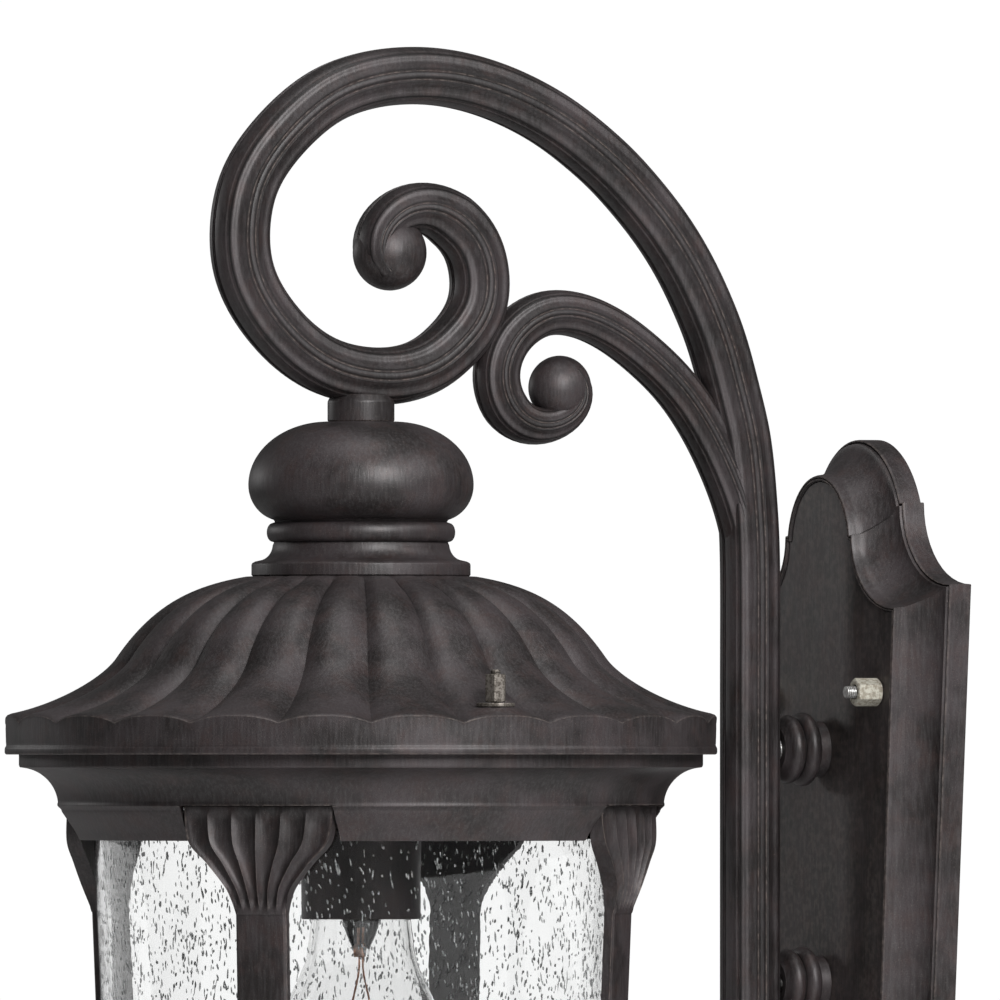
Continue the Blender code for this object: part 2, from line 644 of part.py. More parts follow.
def build_cornice(finish):
    top, wall = ROOF_SEAT_Z - GAP, CORNICE_WALL
    cove = arc((BAND_R, ARRIS_Z), (BAND_R - ARRIS_R, BAND_Z - ARRIS_Z), 98, 172, 5)
    outer = [(BAND_R, top), (BAND_R, BAND_Z)] + cove
    outer += [(ARRIS_R, ARRIS_Z), (ARRIS_R - 0.4, ARRIS_Z - 1.0), (FRIEZE_R, FRIEZE_Z)]
    inner = [(FRIEZE_R - wall, FRIEZE_Z), (ARRIS_R - wall, ARRIS_Z), (SHELF_INNER_R, ARRIS_Z)]
    inner += [(SHELF_INNER_R, ARRIS_Z + SHELF_THICK), (ARRIS_R - 1.8, ARRIS_Z + SHELF_THICK)]
    inner += [(BAND_R - wall - 10, BAND_Z - 3), (BAND_R - wall, BAND_Z + 3), (BAND_R - wall, top - wall)]
    inner += [(BAND_R - 18, top - wall), (BAND_R - 18, top)]
    cornice = turned("cornice", outer + inner, finish, (0, LANTERN_Y, 0), steps=CAGE_STEPS)
    for side in (-1, 1):
        bore(cornice, CAGE_STUD_R + GAP, 8, (side * CAGE_STUD_X, LANTERN_Y, top - 6), steps=12)
    half = CAPITAL_HALF + GAP
    for number in range(4):
        near, far = SHELF_INNER_R - 8, ARRIS_R + 8
        slot = [(near, -half), (far, -half), (far, half), (near, half)]
        turn = (0, 0, diagonal(number))
        notch = prism(f"capital_notch_{number}", slot, FRIEZE_Z - 4, NOTCH_Z, None, (0, LANTERN_Y, 0), turn)
        join(cornice, notch, "DIFFERENCE")
        hole = post_point(number, POST_SCREW_PLACE, ARRIS_Z - 2)
        bore(cornice, POST_SCREW_R + GAP, SHELF_THICK + 4, hole, steps=10)


def post_point(number, radius, height):
    angle = diagonal(number)
    return (radius * math.cos(angle), LANTERN_Y + radius * math.sin(angle), height)


def build_posts(dark, steel):
    """Four posts, each cast in one piece with its spreading capital."""
    top = NOTCH_Z - GAP
    levels = [
        (top, CAPITAL_HALF, CAPITAL_R - 0.8), (FRIEZE_Z, CAPITAL_HALF - 2.0, CAPITAL_R),
        (FRIEZE_Z - 8.5, CAPITAL_HALF - 9.7, CAPITAL_R - 0.6),
        (FRIEZE_Z - 17.3, CAPITAL_HALF - 16.8, CAPITAL_R - 1.7),
        (FRIEZE_Z - 23.1, POST_HALF + 1.0, CAPITAL_R - 3.4), (POST_Z, POST_HALF, POST_R),
        (POST_FOOT_Z, POST_HALF, cage_radius(POST_R, POST_Z, POST_FOOT_Z)),
    ]
    rings = []
    for height, half, outer in levels:
        inner = cage_radius(POST_R - POST_THICK, POST_Z, height)
        front = [half * (1 - 2 * k / 6) for k in range(7)]
        ring = [(inner, -half, height), (inner, half, height)]
        ring += [(math.sqrt(outer ** 2 - u ** 2), u, height) for u in front]
        rings.append(ring)
    shape = loft_mesh("post", rings)
    shape.materials.append(dark)
    foot_screw_z = (GLASS_FOOT_Z + POST_FOOT_Z) / 2
    for number in range(4):
        turn = (0, 0, diagonal(number))
        post = place(f"post_{number + 1}", shape.copy(), None, (0, LANTERN_Y, 0), turn)
        bore(post, POST_SCREW_R + GAP, 12, post_point(number, POST_SCREW_PLACE, top - 9), steps=10)
        face = cage_radius(POST_R, POST_Z, foot_screw_z)
        radial = (0, math.pi / 2, diagonal(number))
        bore(post, POST_SCREW_R + GAP, 12, post_point(number, face - 8, foot_screw_z), radial, 10)
        head = post_point(number, POST_SCREW_PLACE, ARRIS_Z + SHELF_THICK + GAP)
        pan_screw(f"post_screw_{number + 1}", 3.0, 2.0, POST_SCREW_R, SHELF_THICK + GAP + 8, steel, head)
        seat = post_point(number, face + GAP + 0.2, foot_screw_z)
        pan_screw(f"foot_screw_{number + 1}", 3.6, 2.4, POST_SCREW_R, 8.0, dark, seat, radial)


def build_glass(finish):
    top = ARRIS_Z - 2 * GAP
    foot = GLASS_FOOT_Z
    radii = [cage_radius(GLASS_R, FRIEZE_Z, height) for height in (top, foot)]
    wall = [(radii[1], foot), (radii[0], top), (radii[0] - GLASS_WALL, top), (radii[1] - GLASS_WALL, foot)]
    turned("glass_shade", wall[::-1], finish, (0, LANTERN_Y, 0), steps=CAGE_STEPS)


def build_pan(dark, steel):
    """The dish that closes the cage, its turned finial and the screw between them."""
    seat = GLASS_FOOT_Z - GAP
    hub = cage_radius(POST_R - POST_THICK, POST_Z, POST_FOOT_Z) - GAP - 0.3
    glass_inner = cage_radius(GLASS_R, FRIEZE_Z, GLASS_FOOT_Z) - GLASS_WALL
    ledge = POST_FOOT_Z - GAP
    lip = glass_inner - GAP
    foot = (16.0, FINIAL_TOP_Z + GAP)
    rim = (PAN_RIM_R - 2, ledge - 4.2)
    dish = bezier(rim, (PAN_RIM_R - 20, ledge - 8), (PAN_RIM_R - 42, ledge - 20), foot, 6)
    outer = [(hub, seat), (hub, ledge), (PAN_RIM_R, ledge), (PAN_RIM_R, ledge - 3.2)] + dish
    inside = offset(dish[::-1], -PAN_WALL)[1:-2]
    hole = FINIAL_SCREW_R + GAP
    inner = [(hole, FINIAL_TOP_Z + GAP), (hole, FINIAL_TOP_Z + GAP + PAN_WALL)] + inside
    inner += [(lip - 2.4, ledge - 1.0), (lip - 2.4, seat + 6), (lip, seat + 6), (lip, seat)]
    pan = turned("base_pan", outer + inner, dark, (0, LANTERN_Y, 0), steps=CAGE_STEPS)
    foot_screw_z = (GLASS_FOOT_Z + POST_FOOT_Z) / 2
    for number in range(4):
        bore(
            pan, POST_SCREW_R + GAP, 12, post_point(number, hub - 5.0, foot_screw_z),
            (0, math.pi / 2, diagonal(number)), 10,
        )
    ball = arc((0, FINIAL_BOTTOM_Z + 11.0), (10.5, 11.0), 62, -90, 6)
    profile = [(0, FINIAL_TOP_Z), (13.5, FINIAL_TOP_Z), (13.5, FINIAL_TOP_Z - 2.2), (7.0, FINIAL_TOP_Z - 4.4)]
    profile += ball[:-1] + [(0, FINIAL_BOTTOM_Z)]
    finial = turned("finial", profile, dark, (0, LANTERN_Y, 0), steps=16)
    bore(finial, hole, 12, (0, LANTERN_Y, FINIAL_TOP_Z - 9), steps=12)
    floor = FINIAL_TOP_Z + GAP + PAN_WALL
    pan_screw("finial_screw", 4.4, 2.6, FINIAL_SCREW_R, 12.0, steel, (0, LANTERN_Y, floor + GAP + 0.2))


# ---------------------------------------------------------------- socket and lamp

def build_socket(dark, porcelain, brass, steel):
    axis = (0, LANTERN_Y, 0)
    hole = NIPPLE_R + GAP
    skirt = [
        (hole, SKIRT_TOP_Z), (SKIRT_R - 3, SKIRT_TOP_Z), (SKIRT_R, SKIRT_TOP_Z - 3),
        (SKIRT_R, SKIRT_BOTTOM_Z), (SKIRT_R - 1.2, SKIRT_BOTTOM_Z),
        (SKIRT_R - 1.2, SKIRT_TOP_Z - 3.4), (SKIRT_R - 3.4, SKIRT_TOP_Z - 1.2), (hole, SKIRT_TOP_Z - 1.2),
    ]
    turned("socket_skirt", skirt, dark, axis, steps=20)
    hex_nut("skirt_nut", 14.0, 4.0, hole, steel, (0, LANTERN_Y, SKIRT_TOP_Z + GAP))
    cap_top = SKIRT_TOP_Z - 1.2 - GAP
    cap = [
        (hole, cap_top), (12.0, cap_top), (17.0, cap_top - 6), (17.0, SOCKET_TOP_Z + GAP),
        (15.8, SOCKET_TOP_Z + GAP), (15.8, cap_top - 6.6), (11.4, cap_top - 1.2), (hole, cap_top - 1.2),
    ]
    turned("socket_cap", cap, brass, axis, steps=16)
    cavity, floor = SHELL_R + GAP, LAMP_BASE_TOP_Z + 3.0
    body = [
        (0, SOCKET_TOP_Z), (SOCKET_R - 2, SOCKET_TOP_Z), (SOCKET_R, SOCKET_TOP_Z - 2),
        (SOCKET_R, SOCKET_MOUTH_Z), (cavity, SOCKET_MOUTH_Z), (cavity, floor), (0, floor),
    ]
    turned("socket_body", body, porcelain, axis, steps=20)
    shell_top = floor - GAP
    wall = 0.35
    shell = [
        (6.5, shell_top), (SHELL_R, shell_top), (SHELL_R, SOCKET_MOUTH_Z + 1),
        (SHELL_R - wall, SOCKET_MOUTH_Z + 1), (SHELL_R - wall, shell_top - wall), (6.5, shell_top - wall),
    ]
    turned("screw_shell", shell, brass, axis, steps=16)
    leaf = [(-4.5, -0.2), (-4.5, -0.8), (-1.5, -1.0), (2.0, -2.0)]
    leaf += [(4.0, -1.8), (4.0, -1.4), (2.0, -1.5), (-1.5, -0.5)]
    rings = [[(x, side, shell_top + z) for x, z in leaf] for side in (-1.8, 1.8)]
    place("socket_contact", loft_mesh("socket_contact", rings, smooth=False), brass, axis)
    for side, word in ((-1, "live"), (1, "neutral")):
        top = SOCKET_TOP_Z
        route = [(side * 1.4, 0, NECK_TOP_Z - 4), (side * 1.4, 0, COLLAR_Z - 5), (side * 1.4, 0, top + 9),
                 (side * 4.5, 0, top + 3.2), (side * 9.0, 0, top + 2.2)]
        wire(f"socket_lead_{word}", route, LEAD_R, dark, axis, rounds=3)


def build_lamp(brass, glass, steel):
    axis = (0, LANTERN_Y, 0)
    top, neck = LAMP_BASE_TOP_Z, LAMP_NECK_Z
    base = [
        (0, top), (4.4, top), (4.8, top - 1.4), (10.2, top - 3.4), (LAMP_BASE_R, top - 6),
        (LAMP_BASE_R, neck + 2), (LAMP_BASE_R + 0.3, neck), (LAMP_BASE_R - 0.4, neck),
        (LAMP_BASE_R - 0.5, top - 6.4), (0, top - 6.4),
    ]
    turned("lamp_base", base, brass, axis, steps=16)
    shoulder = neck - 8.0
    outside = [(LAMP_BASE_R - 1.0, top - 12), (LAMP_BASE_R - 1.0, neck - 1.5)]
    outside += bezier((LAMP_BASE_R + 1.6, neck - 3), (18.5, shoulder - 2), (19.0, -88), (20.6, -100), 3)
    outside += bezier((20.6, -100), (23.5, -114), (LAMP_R, -121), (LAMP_R, LAMP_MAX_Z), 3)[1:]
    outside += arc((0, LAMP_MAX_Z), (LAMP_R, LAMP_MAX_Z - LAMP_TIP_Z), -20, -90, 4)[:-1] + [(0, LAMP_TIP_Z)]
    wall = 0.9
    inside = [(max(radius - wall, 0), height) for radius, height in outside[:-1]]
    inside += [(0, LAMP_TIP_Z + wall)]
    turned("lamp_envelope", outside[::-1] + inside, glass, axis, steps=20)
    press = neck - 40.0
    stem = [(0, neck - 3), (8.2, neck - 3), (4.6, neck - 12), (3.0, neck - 24), (2.8, press), (0, press)]
    turned("lamp_stem", stem, glass, axis, steps=10)
    spread, low = 13.0, press - 26.0
    half = [(1.6, 0, press - GAP - 0.5), (3.2, 0, press - 8), (spread, 0, low), (spread / 2, 2.5, low - 2)]
    route = [(-x, y, z) for x, y, z in half] + [(0, 3.0, low - 2.6)] + half[::-1]
    wire("lamp_filament", route, 0.35, steel, axis, rounds=2)


# ---------------------------------------------------------------- wiring in the wall plate

def build_wiring(black, white, green, nut_red):
    depth = -9.5
    start = UPPER_BOSS_Z
    for side, word, finish in ((-1, "live", black), (1, "neutral", white)):
        route = [(side * 1.4, -20, start + 0.9), (side * 1.6, -12.5, start + 1), (side * 7, depth, start + 5),
                 (side * 17, depth, start + 20.1), (side * 27, depth, start + 38.1),
                 (side * 30, depth, start + 48.1)]
        wire(f"supply_lead_{word}", route, LEAD_R, finish, rounds=3)
        cone = [(0, 0), (4.6, 0), (4.6, 5), (3.4, 17), (0, 18.5)]
        turned(f"wire_nut_{word}", cone, nut_red, (side * 30, depth, start + 49.6), steps=12)
    route = [(0, -20, start - 1.7), (0, -12.5, start - 2), (9, -8, start - 3), (15.5, -6.8, start + 6.1),
             (16, -6.8, start + 16.5)]
    wire("ground_lead", route, LEAD_R, green, rounds=3)


def main():
    clear_scene()
    dark = material("dark_bronze_casting", (0.045, 0.038, 0.036), 0.45, 0.6)
    steel = material("zinc_plated_steel", (0.52, 0.51, 0.49), 0.4, 1.0)
    brass = material("nickelled_brass", (0.55, 0.5, 0.42), 0.35, 1.0)
    glass = material("clear_glass", (0.9, 0.93, 0.92), 0.05, 0.0, 0.25)
    porcelain = material("glazed_porcelain", (0.82, 0.8, 0.76), 0.2, 0.0)
    green = material("green_insulation", (0.03, 0.22, 0.06), 0.5, 0.0)
    black = material("black_insulation", (0.02, 0.02, 0.02), 0.5, 0.0)
    white = material("white_insulation", (0.75, 0.75, 0.72), 0.5, 0.0)
    red = material("red_wire_nut", (0.4, 0.03, 0.02), 0.45, 0.0)
    build_backplate(dark)
    build_strap(steel, brass, green)
    build_arm(dark)
    build_arm_fixings(dark, steel)
    build_neck(dark, steel)
    build_roof(dark)
    build_roof_fixings(dark, steel)
    build_cornice(dark)
    build_posts(dark, steel)
    build_glass(glass)
    build_pan(dark, steel)
    build_socket(dark, porcelain, brass, steel)
    build_lamp(brass, glass, steel)
    build_wiring(black, white, green, red)


main()
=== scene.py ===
"""Outdoor wall lantern: fine surfaces and finishes for its pieces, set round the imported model.

Lengths are in millimetres and MM turns them into metres where a mesh is made. +Z is up, the wall is
the plane Y = 0, and the lantern hangs out along -Y.
"""

import json
import math

import bmesh
import bpy
import numpy as np
from bpy.props import FloatProperty, FloatVectorProperty, IntProperty, PointerProperty
from mathutils import Matrix, Vector


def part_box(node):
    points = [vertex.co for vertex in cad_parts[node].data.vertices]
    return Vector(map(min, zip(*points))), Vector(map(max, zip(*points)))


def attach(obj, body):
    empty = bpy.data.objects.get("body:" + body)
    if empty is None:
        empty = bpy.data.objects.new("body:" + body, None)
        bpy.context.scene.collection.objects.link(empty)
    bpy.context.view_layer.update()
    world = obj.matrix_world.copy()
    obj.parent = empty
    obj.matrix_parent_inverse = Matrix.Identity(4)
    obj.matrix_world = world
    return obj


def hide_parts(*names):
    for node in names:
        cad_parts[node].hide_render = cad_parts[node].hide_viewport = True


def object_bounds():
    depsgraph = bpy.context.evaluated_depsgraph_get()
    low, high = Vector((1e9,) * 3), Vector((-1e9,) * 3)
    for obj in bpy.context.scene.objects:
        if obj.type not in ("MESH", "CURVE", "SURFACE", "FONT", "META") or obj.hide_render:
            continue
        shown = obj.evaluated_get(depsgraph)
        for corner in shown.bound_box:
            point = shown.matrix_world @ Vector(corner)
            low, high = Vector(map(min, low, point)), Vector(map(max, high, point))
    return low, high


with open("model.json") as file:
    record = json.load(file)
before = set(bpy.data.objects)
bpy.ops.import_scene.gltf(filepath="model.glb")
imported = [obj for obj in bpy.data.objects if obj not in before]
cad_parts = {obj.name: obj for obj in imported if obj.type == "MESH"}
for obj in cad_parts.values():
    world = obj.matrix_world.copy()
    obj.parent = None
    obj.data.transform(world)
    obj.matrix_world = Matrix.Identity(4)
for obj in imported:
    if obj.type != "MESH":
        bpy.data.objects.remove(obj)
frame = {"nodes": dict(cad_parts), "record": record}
CAD_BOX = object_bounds()
CAGE_DROP = next(
    joint["range_m"][1] for joint in frame["record"]["behaviour"]["joints"] if joint["name"] == "cage_drop"
)

bl_info = {
    "name": "Wall Lantern",
    "version": (1, 0, 0),
    "blender": (4, 5, 0),
    "location": "3D View > Sidebar > Lantern",
    "description": "Builds the cast, glazed and turned pieces of an outdoor wall lantern",
    "category": "Add Mesh",
}

MM = 0.001


def corners(node):
    """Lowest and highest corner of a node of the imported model, in millimetres."""
    return [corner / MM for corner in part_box(node)]


def middle(node):
    low, high = corners(node)
    return (low + high) / 2


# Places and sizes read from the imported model
ROOF_LOW, ROOF_HIGH = corners("roof")
LANTERN_Y = (ROOF_LOW.y + ROOF_HIGH.y) / 2
AXIS = Vector((0, LANTERN_Y, 0))
BRIM_R = (ROOF_HIGH.x - ROOF_LOW.x) / 2
NECK_LOW, NECK_HIGH = corners("neck_vase")
PLATE_LOW, PLATE_HIGH = corners("backplate")
PLATE_DEPTH = -PLATE_LOW.y
BOSS_LOW, BOSS_HIGH = corners("arm_boss_upper")
CORNICE_LOW, CORNICE_HIGH = corners("cornice")
GLASS_LOW, GLASS_HIGH = corners("glass_shade")
POST_LOW, POST_HIGH = corners("post_1")
PAN_LOW, PAN_HIGH = corners("base_pan")
SKIRT_LOW, SKIRT_HIGH = corners("socket_skirt")
LAMP_LOW, LAMP_HIGH = corners("lamp_envelope")

COLLAR_R = 42.2
DOME_R = BRIM_R - 42.6
DOME_Z = 13.2
BRIM_Z = -8.6
BEAD_HEIGHT = 3.0  # of the drip bead along the foot of the fascia
ARM_A = 11.1  # half-thickness of the arm in the plane of its scrolls
ARM_B = 12.0
BRANCH_A = 8.7
BRANCH_B = 9.8
ARM_REACH = 165.4
UPRIGHT_Y = LANTERN_Y + ARM_REACH
NIPPLE_R = 4.8
NIPPLE_HOLE = NIPPLE_R + 0.3
NIPPLE_BORE_R = 0.7 * NIPPLE_R
STUD_X = 52.8  # from the middle of the plate to each mounting stud
SADDLE_R = 12.9
SCROLL_REST_Z = 121.3  # the scroll's centre line where it rests on its saddle
CAGE_TAPER = 0.042  # radius lost for each unit of drop
FRIEZE_Z = CORNICE_LOW.z
BAND_R = (CORNICE_HIGH.x - CORNICE_LOW.x) / 2
ARRIS_R = BAND_R - 15.1
ARRIS_Z = FRIEZE_Z + 13.0
FRIEZE_R = ARRIS_R - 8.0
POST_HALF = 10.2
POST_THICK = 4.2
CAPITAL_HALF = 30.4
CAPITAL_R = FRIEZE_R + 4.6
POST_R = FRIEZE_R - 0.8
FRONT_CURVE = 440.0  # twice the radius that a post's front face is crowned to
POST_Z = FRIEZE_Z - 27.7
GLASS_R = (GLASS_HIGH.x - GLASS_LOW.x) / 2
GLASS_WALL = 3.0
LAMP_NECK_Z = -62.0
LAMP_BASE_R = 13.2

# Centre lines of the scrolls, as distances out from the upright and heights
SCROLL = [
    (0.0, -156.0), (0.0, -118.0), (0.0, -60.0), (0.0, -3.0), (0.0, 50.8), (1.2, 73.9), (3.6, 97.0),
    (7.4, 112.4), (14.1, 135.5), (20.7, 150.9), (28.9, 166.3), (39.7, 181.7), (53.7, 197.1),
    (64.3, 206.7), (81.2, 219.1), (98.1, 227.9), (115.0, 233.9), (132.0, 237.2), (148.9, 237.5),
    (165.8, 234.9), (182.7, 228.3), (199.7, 214.2), (212.4, 197.1), (216.6, 177.9), (214.7, 160.5),
    (207.3, 147.1), (194.6, 133.6), (178.5, 124.4), (158.2, 121.3), (140.4, 124.4), (126.9, 133.6),
    (117.6, 145.0), (114.8, 157.5), (117.6, 171.4), (125.6, 181.0), (136.0, 186.8), (146.5, 187.0),
    (156.0, 181.8), (161.0, 173.5), (160.5, 165.5), (155.0, 161.5),
]
SCROLL_END = ((153.3, 169.2), 14.6)  # centre and radius of the ball that the scroll curls into
TAIL_END = ((0.0, -160.0), 13.6)
BRANCH = [
    (0.5, 35.4), (2.1, 58.5), (6.3, 73.9), (12.9, 89.3), (21.5, 104.7), (33.4, 120.1),
    (52.0, 135.5), (64.3, 142.6), (72.7, 145.7), (81.2, 147.1), (90.9, 146.0), (102.7, 137.8),
    (108.5, 125.5), (107.1, 113.6), (101.2, 105.6), (93.0, 102.2), (84.5, 103.2), (76.8, 107.4),
    (73.0, 114.0), (73.4, 120.3), (77.8, 123.8),
]
BRANCH_END = ((81.2, 117.6), 12.5)

# Grooves along the arm: depth, place between its middle and its edge, and width
ARM_GROOVES = ((0.9, 0.15, 0.05), (1.6, 0.48, 0.18), (0.55, 0.80, 0.045))

# The stage
VIEW_AZIMUTH = math.radians(65.5)
VIEW_RISE = math.radians(-0.6)
VIEW_DISTANCE = 9.0
FRAME_WIDTH = 0.385  # what the camera takes in at the lantern
AIM = (22.2, -171.8, 73.9)
FLOOR_ROOM = 60.0  # below the cage when it is lowered
FLOOR_R = 6000.0
FILL_LIGHT = 0.11
BACKDROP_LIGHT = 1.02


# ---------------------------------------------------------------- outlines

def arc(center, radii, first, last, count):
    """Points on an ellipse from one angle to another, in degrees."""
    angles = [math.radians(first + (last - first) * i / count) for i in range(count + 1)]
    return [(center[0] + radii[0] * math.cos(a), center[1] + radii[1] * math.sin(a)) for a in angles]


def bezier(start, pull, push, end, count):
    """Points on a cubic Bezier, from its start to its end."""
    path = []
    for i in range(count + 1):
        t = i / count
        weights = ((1 - t) ** 3, 3 * t * (1 - t) ** 2, 3 * t ** 2 * (1 - t), t ** 3)
        ends = (start, pull, push, end)
        path.append(tuple(sum(w * c[axis] for w, c in zip(weights, ends)) for axis in (0, 1)))
    return path


def smooth_line(points, rounds):
    """Catmull-Rom points through the given ones, with the same number in each span."""
    path = []
    last = len(points) - 1
    for i in range(last):
        before, start = points[max(i - 1, 0)], points[i]
        end, after = points[i + 1], points[min(i + 2, last)]
        for k in range(rounds):
            t = k / rounds
            path.append(0.5 * (
                2 * start + (end - before) * t
                + (2 * before - 5 * start + 4 * end - after) * t ** 2
                + (3 * start - before - 3 * end + after) * t ** 3
            ))
    path.append(points[-1])
    return path


def eased(profile, radius, steps=3, closed=True):
    """The profile with each sharp corner rounded off."""
    points = [Vector(point) for point in profile]
    count = len(points)
    soft = []
    for i, corner in enumerate(points):
        before, after = points[i - 1] - corner, points[(i + 1) % count] - corner
        inner = closed or 0 < i < count - 1
        if not inner or min(before.length, after.length) < 1e-6 or before.angle(after) > math.radians(160):
            soft.append(tuple(corner))
            continue
        reach = min(radius, before.length * 0.45, after.length * 0.45)
        start, end = corner + before.normalized() * reach, corner + after.normalized() * reach
        for k in range(steps + 1):
            t = k / steps
            soft.append(tuple(start * (1 - t) ** 2 + corner * 2 * t * (1 - t) + end * t ** 2))
    return soft


def smoothstep(value, low, high):
    share = min(max((value - low) / (high - low), 0.0), 1.0)
    return share * share * (3 - 2 * share)


def cage_radius(radius, at, height):
    """A radius given at one height, carried along the taper of the cage to another."""
    return radius + CAGE_TAPER * (height - at)


# ---------------------------------------------------------------- meshes

def edge_attribute(data):
    """Stores how sharply the surface bends at each point: above 0 on ridges and below 0 in grooves."""
    count = len(data.vertices)
    points = np.empty(count * 3)
    data.vertices.foreach_get("co", points)
    points = points.reshape(-1, 3) / MM
    normals = np.empty(count * 3)
    data.vertex_normals.foreach_get("vector", normals)
    normals = normals.reshape(-1, 3)
    ends = np.empty(len(data.edges) * 2, int)
    data.edges.foreach_get("vertices", ends)
    first, second = ends.reshape(-1, 2).T
    across = points[second] - points[first]
    square = np.maximum((across ** 2).sum(axis=1), 1e-4)
    bend = np.zeros(count)
    number = np.zeros(count)
    np.add.at(bend, first, -2 * (normals[first] * across).sum(axis=1) / square)
    np.add.at(bend, second, 2 * (normals[second] * across).sum(axis=1) / square)
    np.add.at(number, first, 1)
    np.add.at(number, second, 1)
    bend = np.clip(bend / np.maximum(number, 1), -2, 2)
    data.attributes.new("edge", "FLOAT", "POINT").data.foreach_set("value", bend.astype(np.float32))


def piece(name, shape, finish, body, node=None, sharp=40):
    """A finished piece from a bmesh in millimetres, riding on a body and standing for its CAD node."""
    bmesh.ops.remove_doubles(shape, verts=shape.verts, dist=1e-5)
    bmesh.ops.recalc_face_normals(shape, faces=shape.faces)
    shape.transform(Matrix.Scale(MM, 4))
    data = bpy.data.meshes.new(name)
    shape.to_mesh(data)
    shape.free()
    data.shade_smooth()
    data.set_sharp_from_angle(angle=math.radians(sharp))
    edge_attribute(data)
    data.materials.append(finish)
    item = bpy.data.objects.new(name, data)
    bpy.context.scene.collection.objects.link(item)
    if sharp < 180:
        even = item.modifiers.new("even", "WEIGHTED_NORMAL")
        even.keep_sharp, even.weight = True, 100
    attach(item, body)
    if node:
        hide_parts(node)
    return item


def skin(rings, loop=False, shape=None):
    """A closed surface over rings of points. With loop, the last ring joins the first."""
    shape = shape or bmesh.new()
    rows = [[shape.verts.new(point) for point in ring] for ring in rings]
    pairs = list(zip(rows, rows[1:]))
    if loop:
        pairs.append((rows[-1], rows[0]))
    for low, high in pairs:
        for i in range(len(low)):
            j = (i + 1) % len(low)
            shape.faces.new((low[i], low[j], high[j], high[i]))
    if not loop:
        shape.faces.new(rows[0])
        shape.faces.new(rows[-1])
    return shape


def turn_matrix(at, outward):
    """Stands a piece's own +Z up, or out from the wall, at a point."""
    turned = Matrix.Rotation(math.pi / 2, 4, "X") if outward else Matrix.Identity(4)
    return Matrix.Translation(Vector(at)) @ turned


def lathe(profile, steps, at=AXIS, outward=False, shape=None):
    """Turns (radius, height) points round the piece's own Z. A profile off the axis is a closed loop."""
    place = turn_matrix(at, outward)
    hollow = min(radius for radius, _ in profile) > 1e-6
    rings = []
    for radius, height in profile:
        radius = max(radius, 1e-4)
        angles = [math.tau * i / steps for i in range(steps)]
        rings.append([place @ Vector((radius * math.cos(a), radius * math.sin(a), height)) for a in angles])
    return skin(rings, hollow, shape)


def prism(outline, low, high, place=Matrix.Identity(4), shape=None):
    rings = [[place @ Vector((x, y, z)) for x, y in outline] for z in (low, high)]
    return skin(rings, shape=shape)


def carved(shape, cutters):
    """The shape with the cutters taken out of it by an exact Boolean."""
    scene = bpy.context.scene
    items = []
    for part in [shape] + cutters:
        bmesh.ops.recalc_face_normals(part, faces=part.faces)
        data = bpy.data.meshes.new("carving")
        part.to_mesh(data)
        part.free()
        items.append(bpy.data.objects.new("carving", data))
        scene.collection.objects.link(items[-1])
    for cutter in items[1:]:
        step = items[0].modifiers.new("cut", "BOOLEAN")
        step.operation, step.solver, step.object = "DIFFERENCE", "EXACT", cutter
    bpy.context.view_layer.update()
    result = bmesh.new()
    result.from_object(items[0], bpy.context.evaluated_depsgraph_get())
    for item in items:
        bpy.data.objects.remove(item, do_unlink=True)
    return result


def threaded(radius, low, high, pitch=0.8, depth=0.32, steps=20, tip=0.5):
    """Rings of a rod with a screw thread cut into it."""
    count = int((high - low) / pitch * 4)
    rings = []
    for i in range(count + 1):
        height = low + (high - low) * i / count
        ends = min(height - low, high - height)
        crown = radius - max(0.0, tip - ends)
        ring = []
        for k in range(steps):
            phase = (height / pitch - k / steps) % 1
            cut = depth * abs(2 * phase - 1) * (1 if ends > pitch / 2 else 0)
            angle = math.tau * k / steps
            ring.append(((crown - cut) * math.cos(angle), (crown - cut) * math.sin(angle), height))
        rings.append(ring)
    return rings


def circle(radius, height, steps):
    """One ring of points round the piece's own Z."""
    angles = [math.tau * k / steps for k in range(steps)]
    return [(radius * math.cos(a), radius * math.sin(a), height) for a in angles]


def placed(rings, at, outward=False):
    place = turn_matrix(at, outward)
    return [[place @ Vector(point) for point in ring] for ring in rings]


def hex_nut(flats, height, hole, at, outward=False):
    """A chamfered hexagonal nut standing on its own Z."""
    steps = 72
    half = flats / 2

    def ring(z, chamfered=None, radius=None):
        points = []
        for k in range(steps):
            angle = math.tau * k / steps
            corner = half / math.cos((angle + math.pi / 6) % (math.pi / 3) - math.pi / 6)
            corner = min(corner, half * 1.135)
            reach = radius or corner
            drop = (corner - half) * 0.55 * chamfered if chamfered else 0
            points.append((reach * math.cos(angle), reach * math.sin(angle), z - drop))
        return points

    rings = [ring(0.6, radius=hole), ring(0, radius=hole + 0.5)]
    rings += [ring(0, radius=half * 0.96), ring(0.15, chamfered=-1)]
    rings += [ring(height - 0.15, chamfered=1), ring(height, radius=half * 0.95)]
    rings += [ring(height, radius=hole + 0.5), ring(height - 0.6, radius=hole)]
    return skin(placed(rings, at, outward), loop=True)


